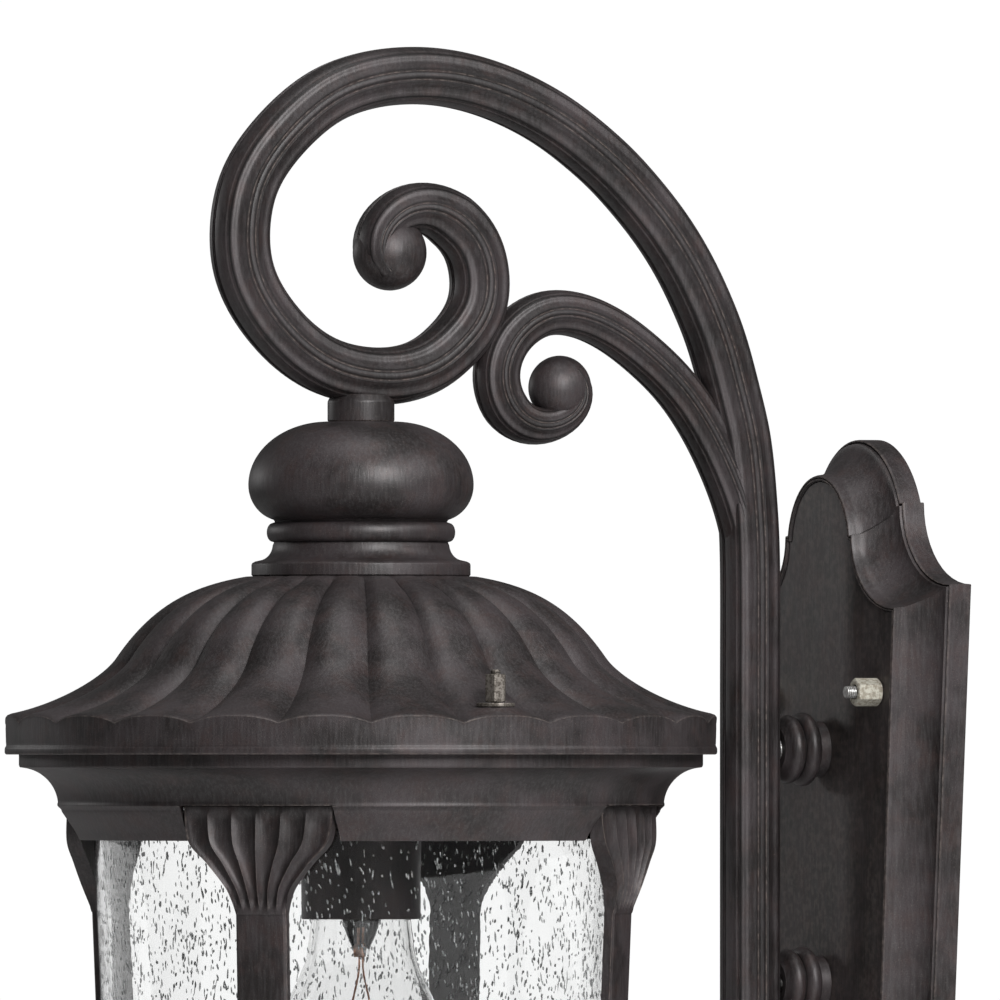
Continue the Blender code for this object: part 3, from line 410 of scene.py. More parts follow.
def pan_screw(head_r, head_height, shank_r, length, at, place=None, cross=True):
    """A round-headed screw with a driven recess, its shank along its own -Z."""
    dome = arc((0, 0.3), (head_r, head_height - 0.3), 0, 90, 10)
    profile = [(0, -length), (shank_r * 0.5, -length), (shank_r, -length + 1.0), (shank_r, 0)]
    profile.append((head_r - 0.2, 0))
    shape = lathe(profile + dome[:-1] + [(0, head_height)], 40, (0, 0, 0))
    blade, deep = head_r * 0.14, head_height * 0.5
    long = head_r * (0.55 if cross else 1.2)
    bars = [[(-long, -blade), (long, -blade), (long, blade), (-long, blade)]]
    if cross:
        bars.append([(y, x) for x, y in bars[0]][::-1])
    cut = carved(shape, [prism(bar, deep, head_height + 1) for bar in bars])
    cut.transform(place or turn_matrix(at, False))
    return cut


def swept(path, half_in, half_across, ease, relief):
    """Rings of the arm's moulded bar along a line, drawn in where it curls round its ball."""
    even = [round(math.cos(math.pi * k / 40), 4) for k in range(1, 40)]
    fine = [sign * u for sign in (-1, 1) for u in (0.09, 0.12, 0.15, 0.19, 0.76, 0.79, 0.82, 0.86)]
    stops = sorted(set(even + fine))

    def face(u):
        full = (1 - abs(u) ** 2.6) ** (1 / 2.2)
        return full, sum(deep * math.exp(-((abs(u) - at) / wide) ** 2) for deep, at, wide in ARM_GROOVES)

    left = sum((b - a).length for a, b in zip(path, path[1:]))
    rings = []
    for i, point in enumerate(path):
        if i:
            left -= (point - path[i - 1]).length
        width = half_in * min(1, 0.5 + 0.5 * left / ease)
        thick = half_across * min(1, 0.9 + 0.1 * left / ease)
        depth = relief * min(1, 0.35 + 0.65 * left / ease)
        along = (path[min(i + 1, len(path) - 1)] - path[max(i - 1, 0)]).normalized()
        normal = Vector((0, -along.z, along.y))
        ring = []
        for side in (1, -1):
            for u in (stops if side > 0 else stops[::-1]):
                full, cut = face(u)
                across = side * (full * thick - cut * depth)
                ring.append(point + normal * (u * width) + Vector((across, 0, 0)))
            ring.append(point - normal * (side * width))
        rings.append(ring)
    return rings


# ---------------------------------------------------------------- finishes

class Value:
    """A socket that can stand in a sum: each operation on it adds the Math node that it needs."""

    def __init__(self, nodes, socket):
        self.nodes, self.socket = nodes, socket

    def maths(self, operation, first, second):
        return self.nodes.node("ShaderNodeMath", {"operation": operation}, {0: first, 1: second})

    def __add__(self, other):
        return self.maths("ADD", self, other)

    def __mul__(self, other):
        return self.maths("MULTIPLY", self, other)

    def __sub__(self, other):
        return self.maths("SUBTRACT", self, other)

    def __rsub__(self, other):
        return self.maths("SUBTRACT", other, self)

    __radd__ = __add__
    __rmul__ = __mul__

    def between(self, low, high):
        """0 where the value is at low or past it, 1 at high, and clamped in between."""
        settings = {"clamp": True, "interpolation_type": "SMOOTHSTEP"}
        sockets = {"Value": self, "From Min": low, "From Max": high}
        return self.nodes.node("ShaderNodeMapRange", settings, sockets)


class Nodes:
    """A node tree under construction."""

    def __init__(self, tree):
        self.tree = tree

    def node(self, kind, settings, values, output=0):
        """Adds a node: its settings first, then the values or links of its sockets."""
        made = self.tree.nodes.new(kind)
        for key, setting in settings.items():
            setattr(made, key, setting)
        self.fill(made, values)
        return Value(self, made.outputs[output])

    def fill(self, made, values):
        for key, value in values.items():
            if isinstance(value, Value):
                self.tree.links.new(value.socket, made.inputs[key])
            else:
                made.inputs[key].default_value = value


class Finish(Nodes):
    """A procedural material under construction."""

    def __init__(self, name):
        self.material = bpy.data.materials.new(name)
        self.material.use_nodes = True
        super().__init__(self.material.node_tree)
        self.shader = self.tree.nodes["Principled BSDF"]

    def place(self, stretch=(1, 1, 1)):
        spot = self.node("ShaderNodeTexCoord", {}, {}, "Object")
        return self.node("ShaderNodeVectorMath", {"operation": "MULTIPLY"}, {0: spot, 1: stretch})

    def noise(self, scale, detail=3.0, stretch=(1, 1, 1), rough=0.55):
        sockets = {"Vector": self.place(stretch), "Scale": scale, "Detail": detail, "Roughness": rough}
        return self.node("ShaderNodeTexNoise", {}, sockets)

    def attribute(self, name):
        return self.node("ShaderNodeAttribute", {"attribute_name": name}, {}, "Fac")

    def mix(self, mask, first, second):
        """One colour turning into another as the mask goes from 0 to 1."""
        pair = {0: mask}
        for key, color in ((6, first), (7, second)):
            pair[key] = color if isinstance(color, Value) else (*color, 1)
        return self.node("ShaderNodeMix", {"data_type": "RGBA"}, pair, 2)

    def bump(self, height, strength, depth):
        sockets = {"Height": height, "Strength": strength, "Distance": depth * MM}
        return self.node("ShaderNodeBump", {}, sockets)

    def surface(self, values):
        self.fill(self.shader, values)
        return self.material


def known(name, make):
    """The finish of this name, made the first time it is asked for."""
    name += "_finish"
    return bpy.data.materials.get(name) or make(name)


def cast_bronze(name="cast_bronze", wear_and_glint=0.45):
    """Rubbed dark bronze on a sand casting: mottled and grainy, with painted shade in its grooves, and worn
    on arrises, where a painted highlight lightens them too.
    """
    look = bpy.context.scene.lantern_finishes

    def make(name):
        f = Finish(name)
        cloud = f.noise(38, 4.0).between(0.36, 0.66)
        patch = f.noise(95, 3.0, rough=0.6).between(0.45, 0.72)
        rubbed = f.noise(900, 2.0, (1, 1, 0.12)).between(0.35, 0.75)
        grain = f.noise(2600, 2.0)
        edge = f.attribute("edge")
        color = f.mix(cloud, tuple(look.bronze_dark), tuple(look.bronze))
        color = f.mix(patch * 0.55, color, tuple(look.bronze_brown))
        color = f.mix(rubbed * 0.35, color, tuple(look.bronze_grey))
        color = f.mix(grain.between(0.48, 0.3) * 0.6, color, tuple(look.bronze_dark))
        color = f.mix(grain.between(0.60, 0.78) * 0.3, color, tuple(look.bronze_worn_and_glint))
        # Painted shade: the curvature attribute darkens grooves and creases towards near-black.
        color = f.mix(edge.between(-0.1, -0.9) * 0.85, color, (0.006, 0.005, 0.005))
        # Worn arrises with a painted highlight: ridges are lightened towards the worn colour in chipped
        # patches, standing for both rubbed wear and the light the edges catch.
        chipped = f.noise(420, 4.0).between(0.4, 0.68)
        worn_edge_and_glint = edge.between(0.25, 1.1) * (0.12 + chipped * 0.75) * wear_and_glint
        color = f.mix(worn_edge_and_glint, color, tuple(look.bronze_worn_and_glint))
        rough = 0.36 + cloud * 0.08 + grain * 0.16 + edge.between(0.3, 1.0) * 0.1
        height = grain * 0.5 + rubbed * 0.4 + f.noise(240, 3.0) * 1.2
        return f.surface({
            "Base Color": color, "Roughness": rough, "Metallic": 0.3,
            "Normal": f.bump(height, 0.35, 0.16),
        })
    return known(name, make)


def plated(name, color, worn, rough=0.32, metallic=1.0):
    """A plated or uncoated metal, mottled where it has worn, with painted shade in its grooves."""
    def make(name):
        f = Finish(name)
        blot = f.noise(700, 4.0, rough=0.65).between(0.4, 0.62)
        scratch = f.noise(2200, 2.0, (1, 1, 0.1))
        edge = f.attribute("edge")
        mixed = f.mix(blot, color, worn)
        # Painted shade: grooves are darkened to a quarter of the worn colour.
        mixed = f.mix(edge.between(-0.2, -1.2) * 0.8, mixed, tuple(0.25 * c for c in worn))
        return f.surface({
            "Base Color": mixed, "Roughness": rough + blot * 0.2 + scratch * 0.12, "Metallic": metallic,
            "Normal": f.bump(blot * 0.6 + scratch * 0.4, 0.3, 0.05),
        })
    return known(name, make)


def moulded(name, color, rough=0.45, speck=0.2):
    """Plastic, rubber or glazed clay with a faint grain."""
    def make(name):
        f = Finish(name)
        cloud = f.noise(300, 3.0)
        grain = f.noise(3000, 2.0)
        mixed = f.mix(cloud * speck, color, tuple(0.6 * c for c in color))
        return f.surface({
            "Base Color": mixed, "Roughness": rough + grain * 0.12, "Normal": f.bump(grain, 0.15, 0.04),
        })
    return known(name, make)


def clear_glass(name, color, ripple):
    """Clear glass with the slow ripple of a blown or drawn surface."""
    def make(name):
        f = Finish(name)
        wave = f.noise(70, 2.0, (1, 1, 0.35)) + f.noise(320, 2.0, (1, 1, 0.3)) * 0.25
        tint = f.mix(f.noise(60, 2.0), color, tuple(0.985 * c for c in color))
        return f.surface({
            "Base Color": tint, "Roughness": 0.0, "IOR": 1.46, "Transmission Weight": 1.0,
            "Normal": f.bump(wave, ripple, 0.6),
        })
    return known(name, make)


def bubble(name="glass_bubble_painted_sheen"):
    """Mottled grey, mostly opaque: painted reflection and shade standing in for the silvery look an air
    bubble in the glass gets from bending and reflecting light.
    """
    def make(name):
        f = Finish(name)
        # Painted reflection and shade: grey mottled between dark and light, in place of the bubble's own
        # refraction and reflection.
        shade = f.mix(f.noise(900, 2.0).between(0.35, 0.65), (0.22, 0.23, 0.23), (0.62, 0.63, 0.63))
        return f.surface({"Base Color": shade, "Roughness": 0.12, "Alpha": 0.8})
    return known(name, make)


def steel():
    return plated("zinc_steel", (0.46, 0.46, 0.45), (0.30, 0.29, 0.28))


def nickel():
    return plated("worn_nickel", (0.20, 0.18, 0.16), (0.07, 0.06, 0.05), rough=0.42, metallic=0.7)


def pale_brass():
    return plated("pale_brass", (0.50, 0.48, 0.41), (0.28, 0.25, 0.20), rough=0.45, metallic=0.45)


def dress(nodes, finish):
    """Gives CAD nodes that stay as they are their finish."""
    for name in nodes:
        item = frame["nodes"][name]
        item.data.materials.clear()
        item.data.materials.append(finish)
        item.data.shade_smooth()
        item.data.set_sharp_from_angle(angle=math.radians(40))


# ---------------------------------------------------------------- settings

class LanternSizes(bpy.types.PropertyGroup):
    """Sizes of the fine detail that the castings and the glass carry."""
    arm_relief: FloatProperty(name="Arm relief", description="How deep the arm's coves are, as a share",
                              default=1.0, min=0, max=2)
    lobes: IntProperty(name="Roof lobes", description="Lobes round the roof", default=24, min=3)
    lobe_depth: FloatProperty(name="Lobe depth", description="Depth of the valleys between the lobes",
                              default=3.6 * MM, unit="LENGTH")
    flutes: IntProperty(name="Flutes", description="Flutes on each capital", default=6, min=1)
    flute_depth: FloatProperty(name="Flute depth", description="Depth of a flute at its deepest",
                               default=2.1 * MM, unit="LENGTH")
    seeds: IntProperty(name="Seeds", description="Bubbles in the glass shade", default=7000, min=0)
    seed_length: FloatProperty(name="Seed length", description="Length of an ordinary bubble",
                               default=2.2 * MM, unit="LENGTH")


def color_property(name, description, default):
    return FloatVectorProperty(
        name=name, description=description, default=default, subtype="COLOR", min=0, max=1
    )


class LanternFinishes(bpy.types.PropertyGroup):
    """Colours of the lantern's finishes."""
    bronze: color_property("Bronze", "The castings' main colour", (0.043, 0.034, 0.036))
    bronze_dark: color_property("Dark bronze", "Where the finish is thickest", (0.015, 0.012, 0.012))
    bronze_brown: color_property("Brown bronze", "Warm patches", (0.048, 0.029, 0.027))
    bronze_grey: color_property("Grey bronze", "Rubbed streaks", (0.075, 0.071, 0.073))
    # Also the colour of the painted highlight along ridges and arrises, besides real worn specks.
    bronze_worn_and_glint: color_property("Worn and glinting bronze", "Where the finish has rubbed through, and the painted highlight on arrises", (0.25, 0.205, 0.18))
    glass: color_property("Glass", "The shade's glass", (0.992, 0.996, 0.994))
    floor: color_property("Floor", "The floor below", (0.86, 0.86, 0.86))


# ---------------------------------------------------------------- pieces

def plate_half(top, foot, step, shoulder, low_shoulder, low_foot, bottom):
    """Right half of a plate outline: arch, notch, cavetto, tapered side and the same again below."""
    def arch(crown, foot_point, side):
        rise = abs(crown - foot_point[1])
        radius = (foot_point[0] ** 2 + rise ** 2) / (2 * rise)
        reach = math.degrees(math.asin(min(foot_point[0] / radius, 1)))
        if rise > radius:
            reach = 180 - reach
        return arc((0, crown - side * radius), (radius, radius), side * 90, side * (90 - reach), 16)

    upper = arch(top, foot, 1)
    cavetto = arc(
        (shoulder[0], foot[1]), (shoulder[0] - foot[0] - step, foot[1] - shoulder[1]), 180, 270, 12
    )
    low_cavetto = arc(
        (low_shoulder[0], low_foot[1]),
        (low_shoulder[0] - low_foot[0] - step, low_shoulder[1] - low_foot[1]), 90, 180, 12,
    )
    return upper + cavetto + low_cavetto + arch(bottom, low_foot, -1)[::-1]


def build_backplate():
    top, bottom = PLATE_HIGH.z, PLATE_LOW.z
    half, low_half, moulding, wall = PLATE_HIGH.x, 64.6, 17.6, 3.3
    foot, low_foot = (38.6, top - 24.7), (30.0, bottom + 28.0)
    shoulder_z, low_shoulder_z = foot[1] - 31.9, low_foot[1] + 30.0
    outer = plate_half(top, foot, 2.8, (half, shoulder_z), (low_half, low_shoulder_z), low_foot, bottom)
    panel = plate_half(
        top - moulding * 0.94, (foot[0] - moulding * 0.716, foot[1] - 15.0), 2.0,
        (half - moulding * 1.03, shoulder_z - 10.8), (low_half - moulding * 0.7, low_shoulder_z + 9.0),
        (low_foot[0] - moulding * 0.568, low_foot[1] + 12.5), bottom + moulding * 0.94,
    )
    outer, panel = [line + [(-x, z) for x, z in line[-2:0:-1]] for line in (outer, panel)]
    center, reach = (top + bottom) / 2, (top - bottom) / 2

    def ring(share, depth, inset=0.0):
        points = []
        for (x0, z0), (x1, z1) in zip(outer, panel):
            x, z = x0 + (x1 - x0) * share, z0 + (z1 - z0) * share
            x, z = x * (1 - inset / half), center + (z - center) * (1 - inset / reach)
            points.append((x, -depth, z))
        return points

    deep = PLATE_DEPTH
    section = [(0, 0.4), (0, 8.2), (0.006, 8.8), (0.03, 9.2), (0.055, 9.0), (0.072, 8.0)]
    section += [(0.088, 9.2), (0.1, 10.0)]
    section += [(0.1 + 0.7 * t / 12, 10.0 + 11.5 * (t / 12) ** 1.7) for t in range(1, 13)]
    section += [(0.815, 23.2), (0.83, 24.9), (0.85, deep - 0.2), (0.872, deep), (0.893, deep - 0.2)]
    section += [(0.905, deep - 0.9), (0.917, deep - 0.2), (0.937, deep)]
    section += [(0.96, deep - 0.15), (0.975, deep - 0.9), (0.985, deep - 1.4), (1.0, deep - 1.0)]
    rings = [ring(1, deep - wall, wall), ring(0, 8.0, wall), ring(0, 0, wall), ring(0, 0, 0.4)]
    rings += [ring(share, depth) for share, depth in section]
    piece("wall_plate", skin(rings), cast_bronze(), "wall_side", "backplate")


def build_wall_fixings():
    thick, half, width = 2.5, 62.0, 22.0
    strap = prism(
        eased([(-half, -width / 2), (half, -width / 2), (half, width / 2), (-half, width / 2)], 4, 6),
        0, thick, turn_matrix((0, 0, 0), True),
    )
    cutters = []
    for side in (-1, 1):
        center = side * 35.5
        slot = arc((center + 4.5, 0), (2.4, 2.4), -90, 90, 12)
        slot += arc((center - 4.5, 0), (2.4, 2.4), 90, 270, 12)
        cutters.append(prism(slot, -2, thick + 2, turn_matrix((0, 0, 0), True)))
        cutters.append(lathe([(0, -2), (2.8, -2), (2.8, 6), (0, 6)], 32, (side * STUD_X, 0, 0), True))
    piece("wall_strap_plate", carved(strap, cutters), steel(), "wall_side", "wall_strap", 30)
    for side, word in ((-1, "left"), (1, "right")):
        low, high = corners(f"strap_stud_{word}")
        radius = high.x - middle(f"strap_stud_{word}").x
        rod = placed(threaded(radius, -high.y, -low.y), (side * STUD_X, 0, 0), True)
        node = f"strap_stud_{word}"
        piece(f"mounting_stud_{word}", skin(rod), steel(), "wall_side", node, 60)
        low, high = corners(f"stud_locknut_{word}")
        nut = hex_nut(8.0, high.y - low.y, 2.6, (side * STUD_X, high.y, 0), True)
        piece(f"back_locknut_{word}", nut, steel(), "wall_side", f"stud_locknut_{word}", 30)
        low, high = corners(f"mounting_nut_{word}")
        nut = hex_nut(9.6, high.y - low.y, 2.7, (side * STUD_X, high.y, 0), True)
        name = f"{word}_mounting_nut"
        piece(f"cap_nut_{word}", nut, pale_brass(), name, f"mounting_nut_{word}", 30)
    low, high = corners("ground_screw")
    seat = (middle("ground_screw").x, -2.8, 0)
    screw = pan_screw((high.x - low.x) / 2, -2.8 - low.y, 1.9, 2.7, seat, turn_matrix(seat, True))
    green = plated("green_zinc", (0.05, 0.30, 0.10), (0.03, 0.18, 0.06))
    piece("green_ground_screw", screw, green, "wall_side", "ground_screw", 30)


def arm_line(points, spacing=2.0, passes=12):
    """An arm's centre line with evenly spaced points, eased so that its curve is fair."""
    drawn = smooth_line([Vector((0, UPRIGHT_Y - out, height)) for out, height in points], 24)
    path, run = [drawn[0]], 0.0
    for before, point in zip(drawn, drawn[1:]):
        run += (point - before).length
        if run >= spacing:
            path.append(point)
            run = 0.0
    for _ in range(passes):
        path[1:-1] = [(a + 2 * b + c) / 4 for a, b, c in zip(path, path[1:], path[2:])]
    return path


def build_arm():
    relief = bpy.context.scene.lantern_sizes.arm_relief
    shape = skin(swept(arm_line(SCROLL), ARM_A, ARM_B, 52.0, relief))
    skin(swept(arm_line(BRANCH), BRANCH_A, BRANCH_B, 48.0, relief * 0.8), shape=shape)
    for (out, height), radius in (SCROLL_END, BRANCH_END, TAIL_END):
        ball = arc((0, 0), (radius, radius * 0.86), -90, 90, 28)
        place = Matrix.Translation((0, UPRIGHT_Y - out, height)) @ Matrix.Rotation(math.pi / 2, 4, "Y")
        rings = [circle(max(r, 1e-4), z, 56) for r, z in ball]
        skin([[place @ Vector(point) for point in ring] for ring in rings], shape=shape)
    low, high = NECK_HIGH.z + 0.02, SCROLL_REST_Z - ARM_A * 0.6
    saddle = [(0, low), (SADDLE_R, low), (SADDLE_R, high - 2.8), (SADDLE_R - 1.5, high), (0, high + 0.3)]
    lathe(eased(saddle, 0.6, closed=False), 72, shape=shape)
    piece("arm_casting", shape, cast_bronze(), "wall_side", "scroll_arm", 50)


def build_arm_fixings():
    length = BOSS_HIGH.y - BOSS_LOW.y
    hole, radius = NIPPLE_HOLE, (BOSS_HIGH.z - BOSS_LOW.z) / 2
    rings = [(radius - 3.9, length * 0.2)]
    rings += arc((radius - 3.6, length * 0.41), (3.6, length * 0.17), -76, 70, 16)
    rings += [(radius - 3.2, length * 0.585)]
    rings += arc((radius - 4.6, length * 0.76), (3.6, length * 0.17), -66, 76, 16)
    for word in ("upper", "lower"):
        low, high = corners(f"arm_boss_{word}")
        profile = [(hole, 0), (radius - 3.4, 0)] + rings
        profile += [(8.8, length - 0.4), (8.4, length), (hole, length)]
        boss = lathe(profile, 96, (0, high.y, middle(f"arm_boss_{word}").z), True)
        piece(f"{word}_boss", boss, cast_bronze(), "wall_side", f"arm_boss_{word}")
    for name, node in (("arm_pipe", "arm_nipple"), ("hanger_pipe", "hanger_nipple")):
        low, high = corners(node)
        outward = node == "arm_nipple"
        at = (0, 0, middle(node).z) if outward else AXIS
        start, end = (-high.y, -low.y) if outward else (low.z, high.z)
        rod = threaded(NIPPLE_R, start, end, 1.0, 0.35, 28)
        bore = []
        for ring in (rod[-1], rod[0]):
            shares = [NIPPLE_BORE_R / math.hypot(x, y) for x, y, _ in ring]
            bore.append([(x * share, y * share, z) for (x, y, z), share in zip(ring, shares)])
        pipe = skin(placed(rod + bore, at, outward), loop=True)
        piece(name, pipe, steel(), "wall_side", node, 60)
    low, high = corners("arm_nipple_nut")
    nut = hex_nut(14.0, high.y - low.y, NIPPLE_HOLE, (0, high.y, middle("arm_nipple_nut").z), True)
    piece("pipe_nut", nut, steel(), "wall_side", "arm_nipple_nut", 30)
    low, high = corners("arm_bolt")
    at = (0, 0, middle("arm_bolt").z)
    bolt = skin(placed(threaded(2.9, -high.y + 3.6, -low.y, 1.0, 0.3, 24), at, True))
    head = hex_nut(10.0, 4.0, 0.4, (0, high.y, at[2]), True)
    joined = bpy.data.meshes.new("bolt_head")
    head.to_mesh(joined)
    head.free()
    bolt.from_mesh(joined)
    bpy.data.meshes.remove(joined)
    piece("lower_bolt", bolt, steel(), "wall_side", "arm_bolt", 30)


def build_neck():
    top, foot = NECK_HIGH.z, ROOF_HIGH.z + 0.02
    ball_r, ball_z, waist = (NECK_HIGH.x - NECK_LOW.x) / 2, foot + 35.2, 34.0
    bulb = arc((SADDLE_R, ball_z), (ball_r - SADDLE_R, top - ball_z), 90, 0, 30)
    under = arc((30.0, ball_z), (ball_r - 30.0, 14.0), -6, -74, 16)
    bead = [(waist - 0.9, 65.4)] + arc((waist, 61.4), (2.3, 3.6), 74, -74, 14) + [(waist - 0.5, 57.6)]
    cove = arc((COLLAR_R - 2.6, 57.0), (COLLAR_R - 3.2 - waist + 0.6, 6.4), 186, 262, 14)
    collar = [(COLLAR_R - 1.4, 50.2), (COLLAR_R - 0.3, 49.6), (COLLAR_R, 48.9), (COLLAR_R, foot + 0.5)]
    collar += [(COLLAR_R - 0.5, foot)]
    hole = NIPPLE_HOLE
    profile = [(hole, top)] + bulb + under + bead + cove + collar + [(hole, foot)]
    piece("turned_neck", lathe(profile, 160), cast_bronze(), "wall_side", "neck_vase")
    for name, node in (("roof_nut", "roof_locknut"), ("hood_nut", "skirt_nut")):
        low, high = corners(node)
        nut = hex_nut(14.0, high.z - low.z, NIPPLE_HOLE, (0, LANTERN_Y, low.z))
        piece(name, nut, steel(), "wall_side", node, 30)


def roof_crest(count):
    """Outline of the roof along the middle of a lobe, from the collar to the brim."""
    waist = (DOME_R, DOME_Z)
    start = (COLLAR_R - 0.2, NECK_LOW.z)
    dome = bezier(start, (COLLAR_R + 22.8, start[1] - 3.4), (DOME_R - 14.2, DOME_Z + 20.7), waist, count)
    pull, push = (DOME_R + 5.6, DOME_Z - 8.2), (BRIM_R - 17.8, BRIM_Z + 3.1)
    flare = bezier(waist, pull, push, (BRIM_R, BRIM_Z), count)
    return dome + flare[1:]


def offset(outline, distances):
    """An outline of (radius, height) points moved square to itself, inwards and down."""
    moved = []
    for i, (radius, height) in enumerate(outline):
        ahead, behind = outline[min(i + 1, len(outline) - 1)], outline[max(i - 1, 0)]
        run, fall = ahead[0] - behind[0], ahead[1] - behind[1]
        length = math.hypot(run, fall)
        moved.append((radius + fall / length * distances[i], height - run / length * distances[i]))
    return moved


def build_roof():
    sizes = bpy.context.scene.lantern_sizes
    steps, seat_x, pad_z = 16, middle("roof_nut_right").x, corners("roof_washer_right")[0].z - 0.3
    top, foot = ROOF_HIGH.z, ROOF_LOW.z
    around = sizes.lobes * steps
    crest = roof_crest(26)
    depths = []
    for i, (radius, _) in enumerate(crest):
        grown = smoothstep(i, -2, 5)
        fade = 1 - 0.12 * smoothstep(radius, DOME_R, BRIM_R)
        depths.append(sizes.lobe_depth / MM * grown * fade * (0.5 + 0.5 * min(radius / DOME_R, 1)))
    valley = offset(crest, depths)

    def ring(high, low=None, pads=False):
        low = low or high
        points = []
        for i in range(around):
            share = abs(2 * (i % steps) / steps - 1) ** 2.6
            radius, height = high[0] + (low[0] - high[0]) * share, high[1] + (low[1] - high[1]) * share
            angle = math.tau * (i / steps - 0.5) / sizes.lobes
            x, y = radius * math.cos(angle), radius * math.sin(angle)
            if pads:
                level = smoothstep(math.hypot(abs(x) - seat_x, y), 10.5, 8.0)
                height += (pad_z - height) * level
            points.append((x, LANTERN_Y + y, height))
        return points

    hole = NIPPLE_HOLE
    rings = [ring((hole, top)), ring((COLLAR_R - 1.2, top))]
    for high, low in zip(crest[:-1], valley[:-1]):
        rings.append(ring((high[0], min(high[1], top)), (low[0], min(low[1], top)), pads=True))
    lip = valley[-1][1]
    rings.append(ring((BRIM_R - 0.7, BRIM_Z - 0.15), (BRIM_R - 0.9, lip + 0.3)))
    rings.append(ring((BRIM_R - 0.15, BRIM_Z - 0.8), (BRIM_R - 0.2, lip - 0.4)))
    rings.append(ring((BRIM_R - 0.3, BRIM_Z - 1.6), (BRIM_R - 0.5, lip - 1.2)))
    bead = foot + BEAD_HEIGHT
    fascia = [(-0.35, lip - 2.6), (-0.5, bead + 1.6), (-0.6, bead + 0.7), (-0.45, bead + 0.1)]
    fascia += [(-0.15, bead - 0.3), (0, bead - 0.9), (0, foot + 0.8), (-0.3, foot + 0.2), (-0.8, foot)]
    rings += [ring((BRIM_R + radius, height)) for radius, height in fascia]
    wall, seat = 5.0, foot + 8.4
    rings += [ring((BRIM_R - wall, foot)), ring((BRIM_R - wall, seat)), ring((seat_x - 6.7, seat))]
    inside = offset(crest, [sizes.lobe_depth / MM + 4.0] * len(crest))
    rings += [ring(inside[i]) for i in range(44, 6, -4)]
    rings += [ring((COLLAR_R - 8, top - 4)), ring((hole, top - 4))]
    # Stronger edge lightening on the roof: rubbed wear together with a painted highlight along the scallops
    # and the drip bead.
    finish = cast_bronze("rubbed_glinting_bronze", 1.3)
    piece("lobed_roof", skin(rings, loop=True), finish, "wall_side", "roof")


def build_roof_fixings():
    for word in ("left", "right"):
        low, high = corners(f"roof_washer_{word}")
        seat = (middle(f"roof_washer_{word}").x, LANTERN_Y, 0)
        radius = (high.x - low.x) / 2
        profile = eased([(2.4, low.z), (radius, low.z), (radius, high.z), (2.4, high.z)], 0.4)
        piece(f"brim_washer_{word}", lathe(profile, 64, seat), nickel(), "wall_side", f"roof_washer_{word}")
        low, high = corners(f"roof_nut_{word}")
        nut = hex_nut(7.4, high.z - low.z, 2.2, (seat[0], LANTERN_Y, low.z))
        piece(f"brim_nut_{word}", nut, nickel(), f"{word}_roof_nut", f"roof_nut_{word}", 30)
        low, high = corners(f"cage_stud_{word}")
        rod = threaded(2.0, low.z + 2.0, high.z, 0.7, 0.28, 20)
        under = [circle(2.4, low.z, 20)]
        head = [circle(3.3, z, 20) for z in (low.z + 0.9, low.z + 2.0)]
        stud = skin(placed(under + head + rod, seat))
        piece(f"cage_bolt_{word}", stud, nickel(), "cage", f"cage_stud_{word}", 60)


def diagonal(number):
    """Turns a piece on +X to the corner of one post."""
    return Matrix.Translation(AXIS) @ Matrix.Rotation(math.radians(45 + 90 * number), 4, "Z")


def build_cornice():
    top, wall = CORNICE_HIGH.z, 3.4
    band_z = ARRIS_Z + 14.9
    cove = arc((BAND_R, ARRIS_Z), (BAND_R - ARRIS_R, band_z - ARRIS_Z), 97, 174, 22)
    outer = [(BAND_R - 0.3, top), (BAND_R, top - 0.4), (BAND_R, band_z + 0.9), (BAND_R - 0.4, band_z + 0.1)]
    outer += cove
    outer += [(ARRIS_R + 0.3, ARRIS_Z + 1.0), (ARRIS_R + 0.3, ARRIS_Z + 0.3), (ARRIS_R - 0.1, ARRIS_Z - 0.2)]
    outer += [(ARRIS_R - 1.1, ARRIS_Z - 1.1), (ARRIS_R - 1.4, ARRIS_Z - 1.8)]
    start, end = (ARRIS_R - 1.5, ARRIS_Z - 2.2), (FRIEZE_R, FRIEZE_Z + 0.6)
    outer += bezier(start, (ARRIS_R - 4, ARRIS_Z - 6), (FRIEZE_R + 1.4, FRIEZE_Z + 4), end, 8)
    inner = [(FRIEZE_R - 0.5, FRIEZE_Z), (FRIEZE_R - wall, FRIEZE_Z), (ARRIS_R - wall, ARRIS_Z)]
    shelf = FRIEZE_R - 9.1
    inner += [(shelf, ARRIS_Z), (shelf, ARRIS_Z + 4.5), (ARRIS_R - 1.8, ARRIS_Z + 4.5)]
    inner += [(BAND_R - wall - 10, band_z - 3), (BAND_R - wall, band_z + 3), (BAND_R - wall, top - wall)]
    inner += [(BAND_R - 18, top - wall), (BAND_R - 18, top)]
    half = CAPITAL_HALF + 0.8
    slot = [(shelf - 8, -half), (ARRIS_R + 8, -half), (ARRIS_R + 8, half), (shelf - 8, half)]
    cutters = [prism(slot, FRIEZE_Z - 4, ARRIS_Z + 0.5, diagonal(number)) for number in range(4)]
    shape = carved(lathe(outer + inner, 192), cutters)
    piece("cornice_ring", shape, cast_bronze(), "cage", "cornice", 30)


